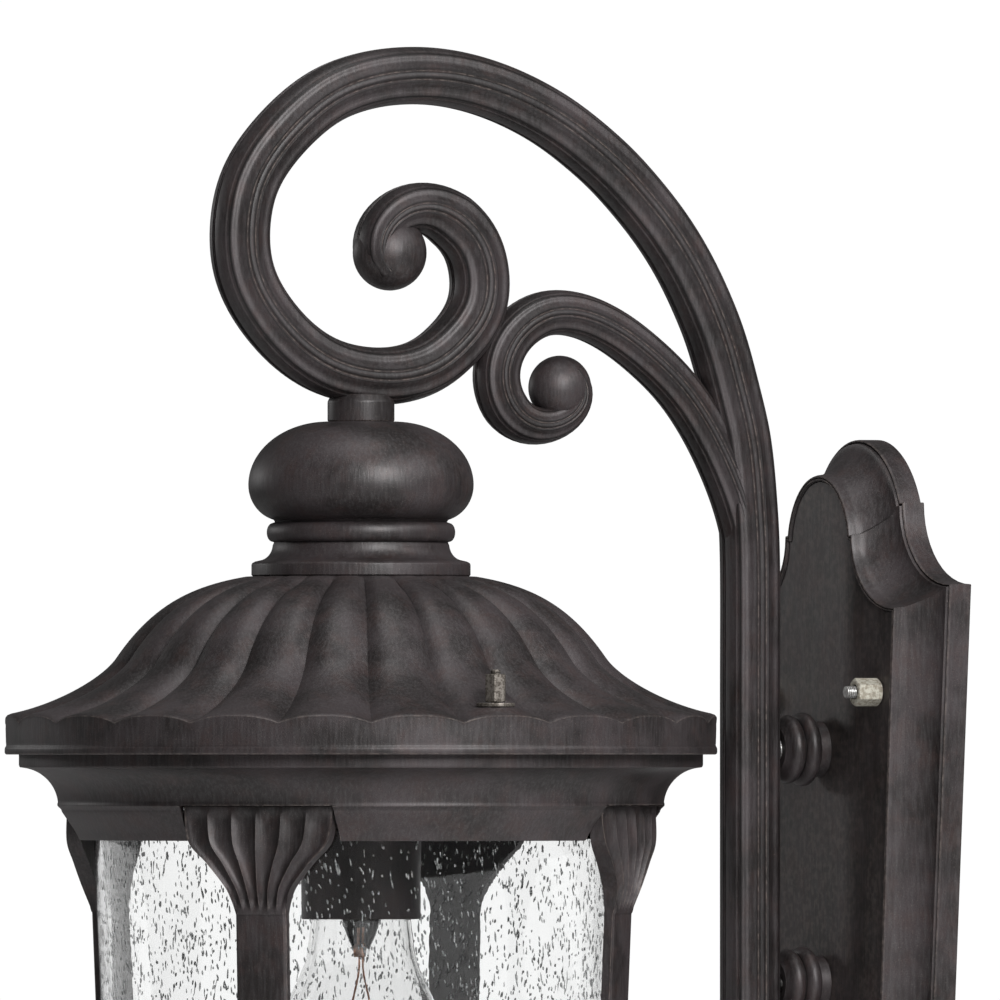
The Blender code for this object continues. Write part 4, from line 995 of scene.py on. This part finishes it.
def post_shape():
    """A post with its fluted capital, standing on +X."""
    sizes = bpy.context.scene.lantern_sizes
    top, foot = POST_HIGH.z, POST_LOW.z
    levels = [
        Vector((top, CAPITAL_HALF, CAPITAL_R - 0.8)), Vector((FRIEZE_Z, CAPITAL_HALF - 2.0, CAPITAL_R)),
        Vector((FRIEZE_Z - 8.5, CAPITAL_HALF - 9.7, CAPITAL_R - 0.6)),
        Vector((FRIEZE_Z - 17.3, CAPITAL_HALF - 16.8, CAPITAL_R - 1.7)),
        Vector((FRIEZE_Z - 23.1, POST_HALF + 1.0, CAPITAL_R - 3.4)),
        Vector((POST_Z, POST_HALF, POST_R + 0.3)),
    ]
    levels = smooth_line(levels, 9)
    below = (POST_Z - 0.4, POST_Z - 1.5, POST_Z - 40, foot)
    shaft = [(z, POST_HALF, cage_radius(POST_R, POST_Z, z)) for z in below]
    rings = []
    for height, half, outer in [tuple(level) for level in levels] + shaft:
        inner = cage_radius(POST_R - POST_THICK, POST_Z, height)
        cut = sizes.flute_depth / MM * smoothstep(top - height, 0.6, 5.0)
        cut *= smoothstep(height, POST_Z, POST_Z + 7)
        ring = [(inner, -half, height), (inner, half, height)]
        depth = outer - half ** 2 / FRONT_CURVE - inner
        ring += [(inner + depth * 0.5, half, height), (inner + depth - 0.9, half, height)]
        for k in range(61):
            share = k / 60
            u = half * (1 - 2 * share)
            groove = cut * abs(math.sin(math.pi * sizes.flutes * share)) ** 0.8
            corner = 0.7 * (1 - smoothstep(half - abs(u), 0, 1.0))
            ring.append((outer - groove - u ** 2 / FRONT_CURVE - corner, u, height))
        ring += [(inner + depth - 0.9, -half, height), (inner + depth * 0.5, -half, height)]
        rings.append(ring)
    return rings


def build_posts():
    rings = post_shape()
    for number in range(4):
        turned = [[diagonal(number) @ Vector(point) for point in ring] for ring in rings]
        piece(f"fluted_post_{number + 1}", skin(turned), cast_bronze(), "cage", f"post_{number + 1}",
              35)
        low, high = corners(f"post_screw_{number + 1}")
        seat = middle(f"post_screw_{number + 1}")
        length, at = high.z - low.z - 2.0, (seat.x, seat.y, high.z - 2.0)
        screw = pan_screw((high.x - low.x) / 2, 2.0, 1.6, length, at)
        node = f"post_screw_{number + 1}"
        piece(f"capital_screw_{number + 1}", screw, steel(), "cage", node, 30)
        node = f"foot_screw_{number + 1}"
        seat = middle(node)
        head = Matrix.Translation((cage_radius(POST_R, POST_Z, seat.z) + 0.5, 0, seat.z))
        place = diagonal(number) @ head @ Matrix.Rotation(math.pi / 2, 4, "Y")
        screw = pan_screw(3.6, 2.4, 1.6, 8.0, (0, 0, 0), place, cross=False)
        piece(f"side_screw_{number + 1}", screw, cast_bronze(), "cage", node, 30)


def build_glass():
    look = bpy.context.scene.lantern_finishes
    top, foot = GLASS_HIGH.z, GLASS_LOW.z
    low_r = cage_radius(GLASS_R, top, foot)
    profile = [(GLASS_R, top), (low_r, foot), (low_r - GLASS_WALL, foot), (GLASS_R - GLASS_WALL, top)]
    profile = eased(profile, 0.8, 4)
    glass = clear_glass("seeded_glass", tuple(look.glass), 0.05)
    piece("glass_sleeve", lathe(profile, 180), glass, "cage", "glass_shade")
    piece("glass_seeds", seeds_shape(top, foot), bubble(), "cage", None, 180)


def seeds_shape(top, foot):
    """Bubbles drawn out along the glass and scattered through its wall."""
    sizes, draw = bpy.context.scene.lantern_sizes, np.random.default_rng(11)
    ball = bmesh.new()
    bmesh.ops.create_icosphere(ball, subdivisions=1, radius=1.0)
    points = np.array([vert.co for vert in ball.verts])
    faces = np.array([[vert.index for vert in face.verts] for face in ball.faces])
    ball.free()
    count = sizes.seeds
    height, angle = draw.uniform(foot + 4, top - 4, count), draw.uniform(0, math.tau, count)
    radius = GLASS_R - CAGE_TAPER * (top - height) - draw.uniform(1.0, 2.0, count)
    long = sizes.seed_length / MM / 2 * draw.lognormal(-0.1, 0.4, count)
    long *= np.where(draw.random(count) < 0.04, 2.2, 1.0)
    wide = np.minimum(draw.uniform(0.26, 0.48, count), long)
    lean = draw.normal(0.16, 0.12, count)
    out = points[:, 0] * np.minimum(wide, 0.45)[:, None]
    side, up = points[:, 1] * wide[:, None], points[:, 2] * np.minimum(long, 3.4)[:, None]
    side, up = side * np.cos(lean)[:, None] - up * np.sin(lean)[:, None], (
        side * np.sin(lean)[:, None] + up * np.cos(lean)[:, None])
    out += radius[:, None]
    turn = angle[:, None]
    spots = np.stack([out * np.cos(turn) - side * np.sin(turn),
                      out * np.sin(turn) + side * np.cos(turn) + LANTERN_Y, up + height[:, None]], axis=2)
    rows = (faces[None] + (np.arange(count) * len(points))[:, None, None]).reshape(-1, 3)
    data = bpy.data.meshes.new("seeds")
    data.from_pydata(spots.reshape(-1, 3).tolist(), [], rows.tolist())
    shape = bmesh.new()
    shape.from_mesh(data)
    bpy.data.meshes.remove(data)
    return shape


def build_pan():
    rim, seat, ledge = (PAN_HIGH.x - PAN_LOW.x) / 2, PAN_HIGH.z, POST_LOW.z - 0.3
    hub = cage_radius(POST_R - POST_THICK, POST_Z, ledge) - 0.6
    lip = cage_radius(GLASS_R, GLASS_HIGH.z, GLASS_LOW.z) - 3.3
    foot = (16.0, PAN_LOW.z)
    dish = bezier((rim - 1.6, ledge - 4.2), (rim - 20, ledge - 8), (rim - 42, ledge - 20), foot, 30)
    outer = [(hub, seat), (hub, ledge), (rim - 0.5, ledge), (rim, ledge - 0.5), (rim, ledge - 2.7)]
    outer += [(rim - 0.5, ledge - 3.3), (rim - 1.4, ledge - 3.5)] + dish
    inside = offset(dish[::-1], [-3.5] * len(dish))[2:-4]
    hole = 2.3
    inner = [(hole, PAN_LOW.z), (hole, PAN_LOW.z + 3.5)] + inside
    inner += [(lip - 2.4, ledge - 1.0), (lip - 2.4, seat + 6), (lip, seat + 6), (lip, seat)]
    pan = lathe(outer + inner, 160)
    piece("bottom_pan", pan, cast_bronze(), "cage", "base_pan", 35)
    low, high = corners("finial")
    ball = arc((0, low.z + 11.0), (10.5, 11.0), 62, -88, 30)
    profile = [(0, high.z), (13.0, high.z), (13.5, high.z - 0.5), (13.5, high.z - 1.8), (13.0, high.z - 2.3)]
    profile += bezier((12.0, high.z - 2.5), (8.4, high.z - 2.9), (7.2, high.z - 3.6), (7.0, high.z - 4.4), 6)
    piece("turned_finial", lathe(profile + ball + [(0, low.z)], 96), cast_bronze(), "cage", "finial",
          35)
    low, high = corners("finial_screw")
    screw = pan_screw(4.4, 2.6, 2.0, high.z - low.z - 2.6, (0, LANTERN_Y, high.z - 2.6))
    piece("pan_screw", screw, steel(), "cage", "finial_screw", 30)


def build_socket():
    top, low = SKIRT_HIGH.z, SKIRT_LOW.z
    radius, hole, wall = (SKIRT_HIGH.x - SKIRT_LOW.x) / 2, NIPPLE_HOLE, 1.2
    shoulder = arc((radius - 3, top - 3), (3, 3), 90, 0, 10)
    under = arc((radius - 3, top - 3), (3 - wall, 3 - wall), 0, 90, 8)
    profile = [(hole, top)] + shoulder + [(radius, low + 0.9), (radius - 0.2, low + 0.2), (radius - 0.5, low)]
    profile += [(radius - wall, low + 0.2)] + under + [(hole, top - wall)]
    piece("lamp_hood", lathe(profile, 96), cast_bronze(), "wall_side", "socket_skirt")
    brass = plated("socket_brass", (0.55, 0.42, 0.18), (0.4, 0.3, 0.13))
    dress(["socket_cap", "screw_shell", "socket_contact"], brass)
    dress(["socket_body"], moulded("porcelain", (0.78, 0.76, 0.71), 0.16, 0.1))


def build_lamp():
    top, tip = LAMP_HIGH.z, LAMP_LOW.z
    radius, widest, neck = (LAMP_HIGH.x - LAMP_LOW.x) / 2, tip + 33.0, LAMP_NECK_Z
    base_low, base_high = corners("lamp_base")
    bulge = [(LAMP_BASE_R - 1.0, top), (LAMP_BASE_R - 1.0, neck - 1.2)]
    bulge += bezier((LAMP_BASE_R + 0.6, neck - 2), (18.4, neck - 9), (19.0, neck - 26), (20.6, neck - 38), 18)
    bulge += bezier((20.6, neck - 38), (23.5, neck - 52), (radius, neck - 59), (radius, widest), 18)[1:]
    bulge += arc((0, widest), (radius, widest - tip), -5, -86, 20)
    outside = bulge + [(0, tip)]
    inside = [(max(r - 0.5, 0), z) for r, z in bulge] + [(0, tip + 0.5)]
    glass = clear_glass("lamp_glass", (0.99, 0.99, 0.99), 0.0)
    rings = outside[::-1] + inside
    piece("lamp_bulb", lathe(rings, 96), glass, "lamp", "lamp_envelope", 60)
    press = neck - 40.0
    stem = [(0, neck - 2)] + bezier((9.6, neck - 2), (9.4, neck - 16), (8.2, neck - 27), (4.4, neck - 34), 14)
    stem += bezier((4.2, neck - 34.6), (3.2, neck - 36), (3.0, neck - 38), (2.8, press), 6) + [(0, press)]
    piece("lamp_mount", lathe(stem, 48), glass, "lamp", "lamp_stem", 60)
    shell = [(0, base_high.z), (4.2, base_high.z), (4.6, base_high.z - 1.3), (9.8, base_high.z - 3.2)]
    for turn in range(5):
        z = base_high.z - 5.5 - turn * 3.6
        shell += [(LAMP_BASE_R - 1.1, z), (LAMP_BASE_R - 0.1, z - 1.2)]
        shell += [(LAMP_BASE_R, z - 1.8), (LAMP_BASE_R - 0.1, z - 2.4)]
    inner = LAMP_BASE_R - 1.6
    shell += [(LAMP_BASE_R - 0.4, base_low.z + 0.6), (LAMP_BASE_R + 0.2, base_low.z)]
    shell += [(LAMP_BASE_R - 0.6, base_low.z), (inner, base_low.z + 1.0)]
    shell += [(inner, base_high.z - 7), (0, base_high.z - 7)]
    pale = plated("lamp_aluminium", (0.75, 0.74, 0.72), (0.6, 0.59, 0.57))
    piece("lamp_cap", lathe(shell, 72), pale, "lamp", "lamp_base")
    build_filament(press)


def build_filament(press):
    """Lead-in wires, their copper knot and the coiled filament."""
    shape = bmesh.new()
    spread, low = 13.0, press - 26.0

    def run(points, radius, rounds=6, steps=8):
        path = smooth_line([Vector(point) for point in points], rounds)
        rings = []
        for i, point in enumerate(path):
            along = (path[min(i + 1, len(path) - 1)] - path[max(i - 1, 0)]).normalized()
            side = along.cross(Vector((0, 1, 0.01))).normalized()
            other = along.cross(side)
            angles = [math.tau * k / steps for k in range(steps)]
            rings.append([AXIS + point + radius * (side * math.cos(a) + other * math.sin(a)) for a in angles])
        skin(rings, shape=shape)

    for side in (-1, 1):
        run([(side * 1.5, 0, press + 12), (side * 1.6, 0, press), (side * 3.2, 0, press - 8),
             (side * spread, 0, low)], 0.38)
        knot = arc((0, 0), (1.3, 3.4), -90, 90, 10)
        profile = [(max(r, 1e-4), z + press + 3) for r, z in knot]
        lathe(profile, 20, AXIS + Vector((side * 1.5, 0, 0)), shape=shape)
    coil = []
    for i in range(241):
        t = i / 240
        x = -spread + 2 * spread * t
        bow, twist = math.sin(math.pi * t), math.tau * 34 * t
        coil.append((x, 3.0 * bow + 0.32 * math.cos(twist), low - 2.6 * bow + 0.32 * math.sin(twist)))
    run(coil, 0.1, 2, 5)
    piece("lamp_wires", shape, plated("filament_copper", (0.75, 0.42, 0.30), (0.55, 0.33, 0.25)), "lamp",
          "lamp_filament", 60)


def build_wiring():
    for word in ("live", "neutral"):
        low, high = corners(f"wire_nut_{word}")
        center = middle(f"wire_nut_{word}")
        levels = [(4.2, 0), (4.6, 0.03), (4.6, 0.24), (4.2, 0.3)]
        levels += [(3.9, 0.6), (3.4, 0.88), (2.6, 0.97), (0.6, 1)]
        rings = []
        for radius, share in levels:
            height = low.z + (high.z - low.z) * share
            ribs = 0.35 if 0.25 < share < 0.95 else 0
            ring = []
            for k in range(72):
                angle = math.tau * k / 72
                r = radius - ribs * (0.5 + 0.5 * math.cos(12 * angle))
                ring.append((center.x + r * math.cos(angle), center.y + r * math.sin(angle), height))
            rings.append(ring)
        red = moulded("wire_nut_red", (0.45, 0.03, 0.02))
        name = f"twist_connector_{word}"
        piece(name, skin(rings), red, "wall_side", f"wire_nut_{word}")
    black, white = moulded("black_lead", (0.02, 0.02, 0.02)), moulded("white_lead", (0.7, 0.7, 0.66))
    dress(["supply_lead_live", "socket_lead_live"], black)
    dress(["supply_lead_neutral", "socket_lead_neutral"], white)
    dress(["ground_lead"], moulded("green_lead", (0.03, 0.22, 0.06)))


def build_stage():
    scene = bpy.context.scene
    scene.view_settings.view_transform = "Standard"
    floor = bpy.data.meshes.new("floor")
    floor_z = (CAD_BOX[0].z - CAGE_DROP) / MM - FLOOR_ROOM
    shape = lathe([(0, -2), (FLOOR_R, -2), (FLOOR_R, 0), (0, 0)], 64, (0, 0, floor_z))
    shape.transform(Matrix.Scale(MM, 4))
    shape.to_mesh(floor)
    shape.free()
    f = Finish("studio_floor")
    tint = f.mix(f.noise(3, 2.0) * 0.1, tuple(scene.lantern_finishes.floor), (0.8, 0.8, 0.8))
    floor.materials.append(f.surface({"Base Color": tint, "Roughness": 0.6}))
    ground = bpy.data.objects.new("floor", floor)
    scene.collection.objects.link(ground)

    level_back = Vector((math.sin(VIEW_AZIMUTH), -math.cos(VIEW_AZIMUTH), 0))
    back = level_back * math.cos(VIEW_RISE) + Vector((0, 0, math.sin(VIEW_RISE)))
    right = Vector((math.cos(VIEW_AZIMUTH), math.sin(VIEW_AZIMUTH), 0))
    aim = Vector(AIM) * MM
    camera = bpy.data.objects.new("camera", bpy.data.cameras.new("camera"))
    scene.collection.objects.link(camera)
    camera.location = aim + back * VIEW_DISTANCE
    camera.rotation_mode = "QUATERNION"
    camera.rotation_quaternion = (-back).to_track_quat("-Z", "Y")
    camera.data.sensor_width = 36.0
    camera.data.lens = 36.0 * VIEW_DISTANCE / FRAME_WIDTH
    camera.data.clip_end = 100.0
    scene.camera = camera

    world = bpy.data.worlds.new("studio")
    world.use_nodes = True
    scene.world = world
    sky = Nodes(world.node_tree)
    camera_ray, glass_ray = [
        sky.node("ShaderNodeLightPath", {}, {}, f"Is {kind} Ray") for kind in ("Camera", "Transmission")
    ]
    seen = camera_ray.maths("MAXIMUM", camera_ray, glass_ray)
    sockets = {"Value": seen, "To Min": FILL_LIGHT, "To Max": BACKDROP_LIGHT}
    level = sky.node("ShaderNodeMapRange", {}, sockets)
    sky.fill(sky.tree.nodes["Background"], {"Color": (1, 1, 1, 1), "Strength": level})

    for name, place, size, power in (
        ("front", back * 1.3 + right * 0.55 + Vector((0, 0, 0.62)), 0.7, 31),
        ("right", back * 0.5 + right * 1.5 + Vector((0, 0, 1.05)), 0.9, 8),
        ("top", Vector((0, 0, 1.35)) + back * 0.15 - right * 0.1, 0.7, 6),
        ("side", Vector((-1.5, -0.8, 0.26)), 0.3, 2.6),
    ):
        light = bpy.data.lights.new(name, "AREA")
        light.shape, light.size, light.energy = "SQUARE", size, power
        lamp = bpy.data.objects.new(name, light)
        scene.collection.objects.link(lamp)
        lamp.location = aim + place
        lamp.rotation_mode = "QUATERNION"
        lamp.rotation_quaternion = (-place).to_track_quat("-Z", "Y")
        lamp.visible_camera = False
        lamp.visible_transmission = False


# ---------------------------------------------------------------- operators

class LANTERN_OT_stage(bpy.types.Operator):
    """Floor, camera, world and lights"""
    bl_idname = "lantern.stage"
    bl_label = "Stage"
    bl_options = {"REGISTER", "UNDO"}

    def execute(self, context):
        build_stage()
        return {"FINISHED"}


class LANTERN_OT_backplate(bpy.types.Operator):
    """Hollow moulded plate against the wall"""
    bl_idname = "lantern.backplate"
    bl_label = "Wall plate"
    bl_options = {"REGISTER", "UNDO"}

    def execute(self, context):
        build_backplate()
        return {"FINISHED"}


class LANTERN_OT_wall_fixings(bpy.types.Operator):
    """Strap, studs, locknuts, cap nuts and ground screw"""
    bl_idname = "lantern.wall_fixings"
    bl_label = "Wall fixings"
    bl_options = {"REGISTER", "UNDO"}

    def execute(self, context):
        build_wall_fixings()
        return {"FINISHED"}


class LANTERN_OT_arm(bpy.types.Operator):
    """Moulded arm with its scrolls and balls"""
    bl_idname = "lantern.arm"
    bl_label = "Scroll arm"
    bl_options = {"REGISTER", "UNDO"}

    def execute(self, context):
        build_arm()
        return {"FINISHED"}


class LANTERN_OT_arm_fixings(bpy.types.Operator):
    """Bosses, pipes, nuts and bolt"""
    bl_idname = "lantern.arm_fixings"
    bl_label = "Arm fixings"
    bl_options = {"REGISTER", "UNDO"}

    def execute(self, context):
        build_arm_fixings()
        return {"FINISHED"}


class LANTERN_OT_neck(bpy.types.Operator):
    """Turned neck and the nuts on its pipe"""
    bl_idname = "lantern.neck"
    bl_label = "Neck"
    bl_options = {"REGISTER", "UNDO"}

    def execute(self, context):
        build_neck()
        return {"FINISHED"}


class LANTERN_OT_roof(bpy.types.Operator):
    """Lobed roof with its scalloped brim"""
    bl_idname = "lantern.roof"
    bl_label = "Roof"
    bl_options = {"REGISTER", "UNDO"}

    def execute(self, context):
        build_roof()
        return {"FINISHED"}


class LANTERN_OT_roof_fixings(bpy.types.Operator):
    """Washers, nuts and studs on the brim"""
    bl_idname = "lantern.roof_fixings"
    bl_label = "Roof fixings"
    bl_options = {"REGISTER", "UNDO"}

    def execute(self, context):
        build_roof_fixings()
        return {"FINISHED"}


class LANTERN_OT_cornice(bpy.types.Operator):
    """Coved ring under the roof"""
    bl_idname = "lantern.cornice"
    bl_label = "Cornice"
    bl_options = {"REGISTER", "UNDO"}

    def execute(self, context):
        build_cornice()
        return {"FINISHED"}


class LANTERN_OT_posts(bpy.types.Operator):
    """Four posts with fluted capitals, and their screws"""
    bl_idname = "lantern.posts"
    bl_label = "Posts"
    bl_options = {"REGISTER", "UNDO"}

    def execute(self, context):
        build_posts()
        return {"FINISHED"}


class LANTERN_OT_glass(bpy.types.Operator):
    """Tapered glass sleeve and its seeds"""
    bl_idname = "lantern.glass"
    bl_label = "Glass"
    bl_options = {"REGISTER", "UNDO"}

    def execute(self, context):
        build_glass()
        return {"FINISHED"}


class LANTERN_OT_pan(bpy.types.Operator):
    """Dished pan, finial and screw"""
    bl_idname = "lantern.pan"
    bl_label = "Bottom pan"
    bl_options = {"REGISTER", "UNDO"}

    def execute(self, context):
        build_pan()
        return {"FINISHED"}


class LANTERN_OT_socket(bpy.types.Operator):
    """Hood, cap, porcelain body and shell"""
    bl_idname = "lantern.socket"
    bl_label = "Socket"
    bl_options = {"REGISTER", "UNDO"}

    def execute(self, context):
        build_socket()
        return {"FINISHED"}


class LANTERN_OT_lamp(bpy.types.Operator):
    """Clear lamp with its stem, cap and filament"""
    bl_idname = "lantern.lamp"
    bl_label = "Lamp"
    bl_options = {"REGISTER", "UNDO"}

    def execute(self, context):
        build_lamp()
        return {"FINISHED"}


class LANTERN_OT_wiring(bpy.types.Operator):
    """Leads and twist-on connectors"""
    bl_idname = "lantern.wiring"
    bl_label = "Wiring"
    bl_options = {"REGISTER", "UNDO"}

    def execute(self, context):
        build_wiring()
        return {"FINISHED"}


OPERATORS = [
    LANTERN_OT_stage,
    LANTERN_OT_backplate,
    LANTERN_OT_wall_fixings,
    LANTERN_OT_arm,
    LANTERN_OT_arm_fixings,
    LANTERN_OT_neck,
    LANTERN_OT_roof,
    LANTERN_OT_roof_fixings,
    LANTERN_OT_cornice,
    LANTERN_OT_posts,
    LANTERN_OT_glass,
    LANTERN_OT_pan,
    LANTERN_OT_socket,
    LANTERN_OT_lamp,
    LANTERN_OT_wiring,
]


class LANTERN_PT_build(bpy.types.Panel):
    """Sizes, colours and the steps of the build."""
    bl_label = "Wall Lantern"
    bl_space_type = "VIEW_3D"
    bl_region_type = "UI"
    bl_category = "Lantern"

    def draw(self, context):
        for group in (context.scene.lantern_sizes, context.scene.lantern_finishes):
            for key in group.__annotations__:
                self.layout.prop(group, key)
        for step in OPERATORS:
            self.layout.operator(step.bl_idname)


CLASSES = [LanternSizes, LanternFinishes, *OPERATORS, LANTERN_PT_build]


def register():
    for item in CLASSES:
        bpy.utils.register_class(item)
    bpy.types.Scene.lantern_sizes = PointerProperty(type=LanternSizes)
    bpy.types.Scene.lantern_finishes = PointerProperty(type=LanternFinishes)


def unregister():
    del bpy.types.Scene.lantern_finishes
    del bpy.types.Scene.lantern_sizes
    for item in reversed(CLASSES):
        bpy.utils.unregister_class(item)


def main():
    register()
    for step in OPERATORS:
        getattr(bpy.ops.lantern, step.bl_idname.split(".")[1])()


if __name__ == "__main__":
    main()
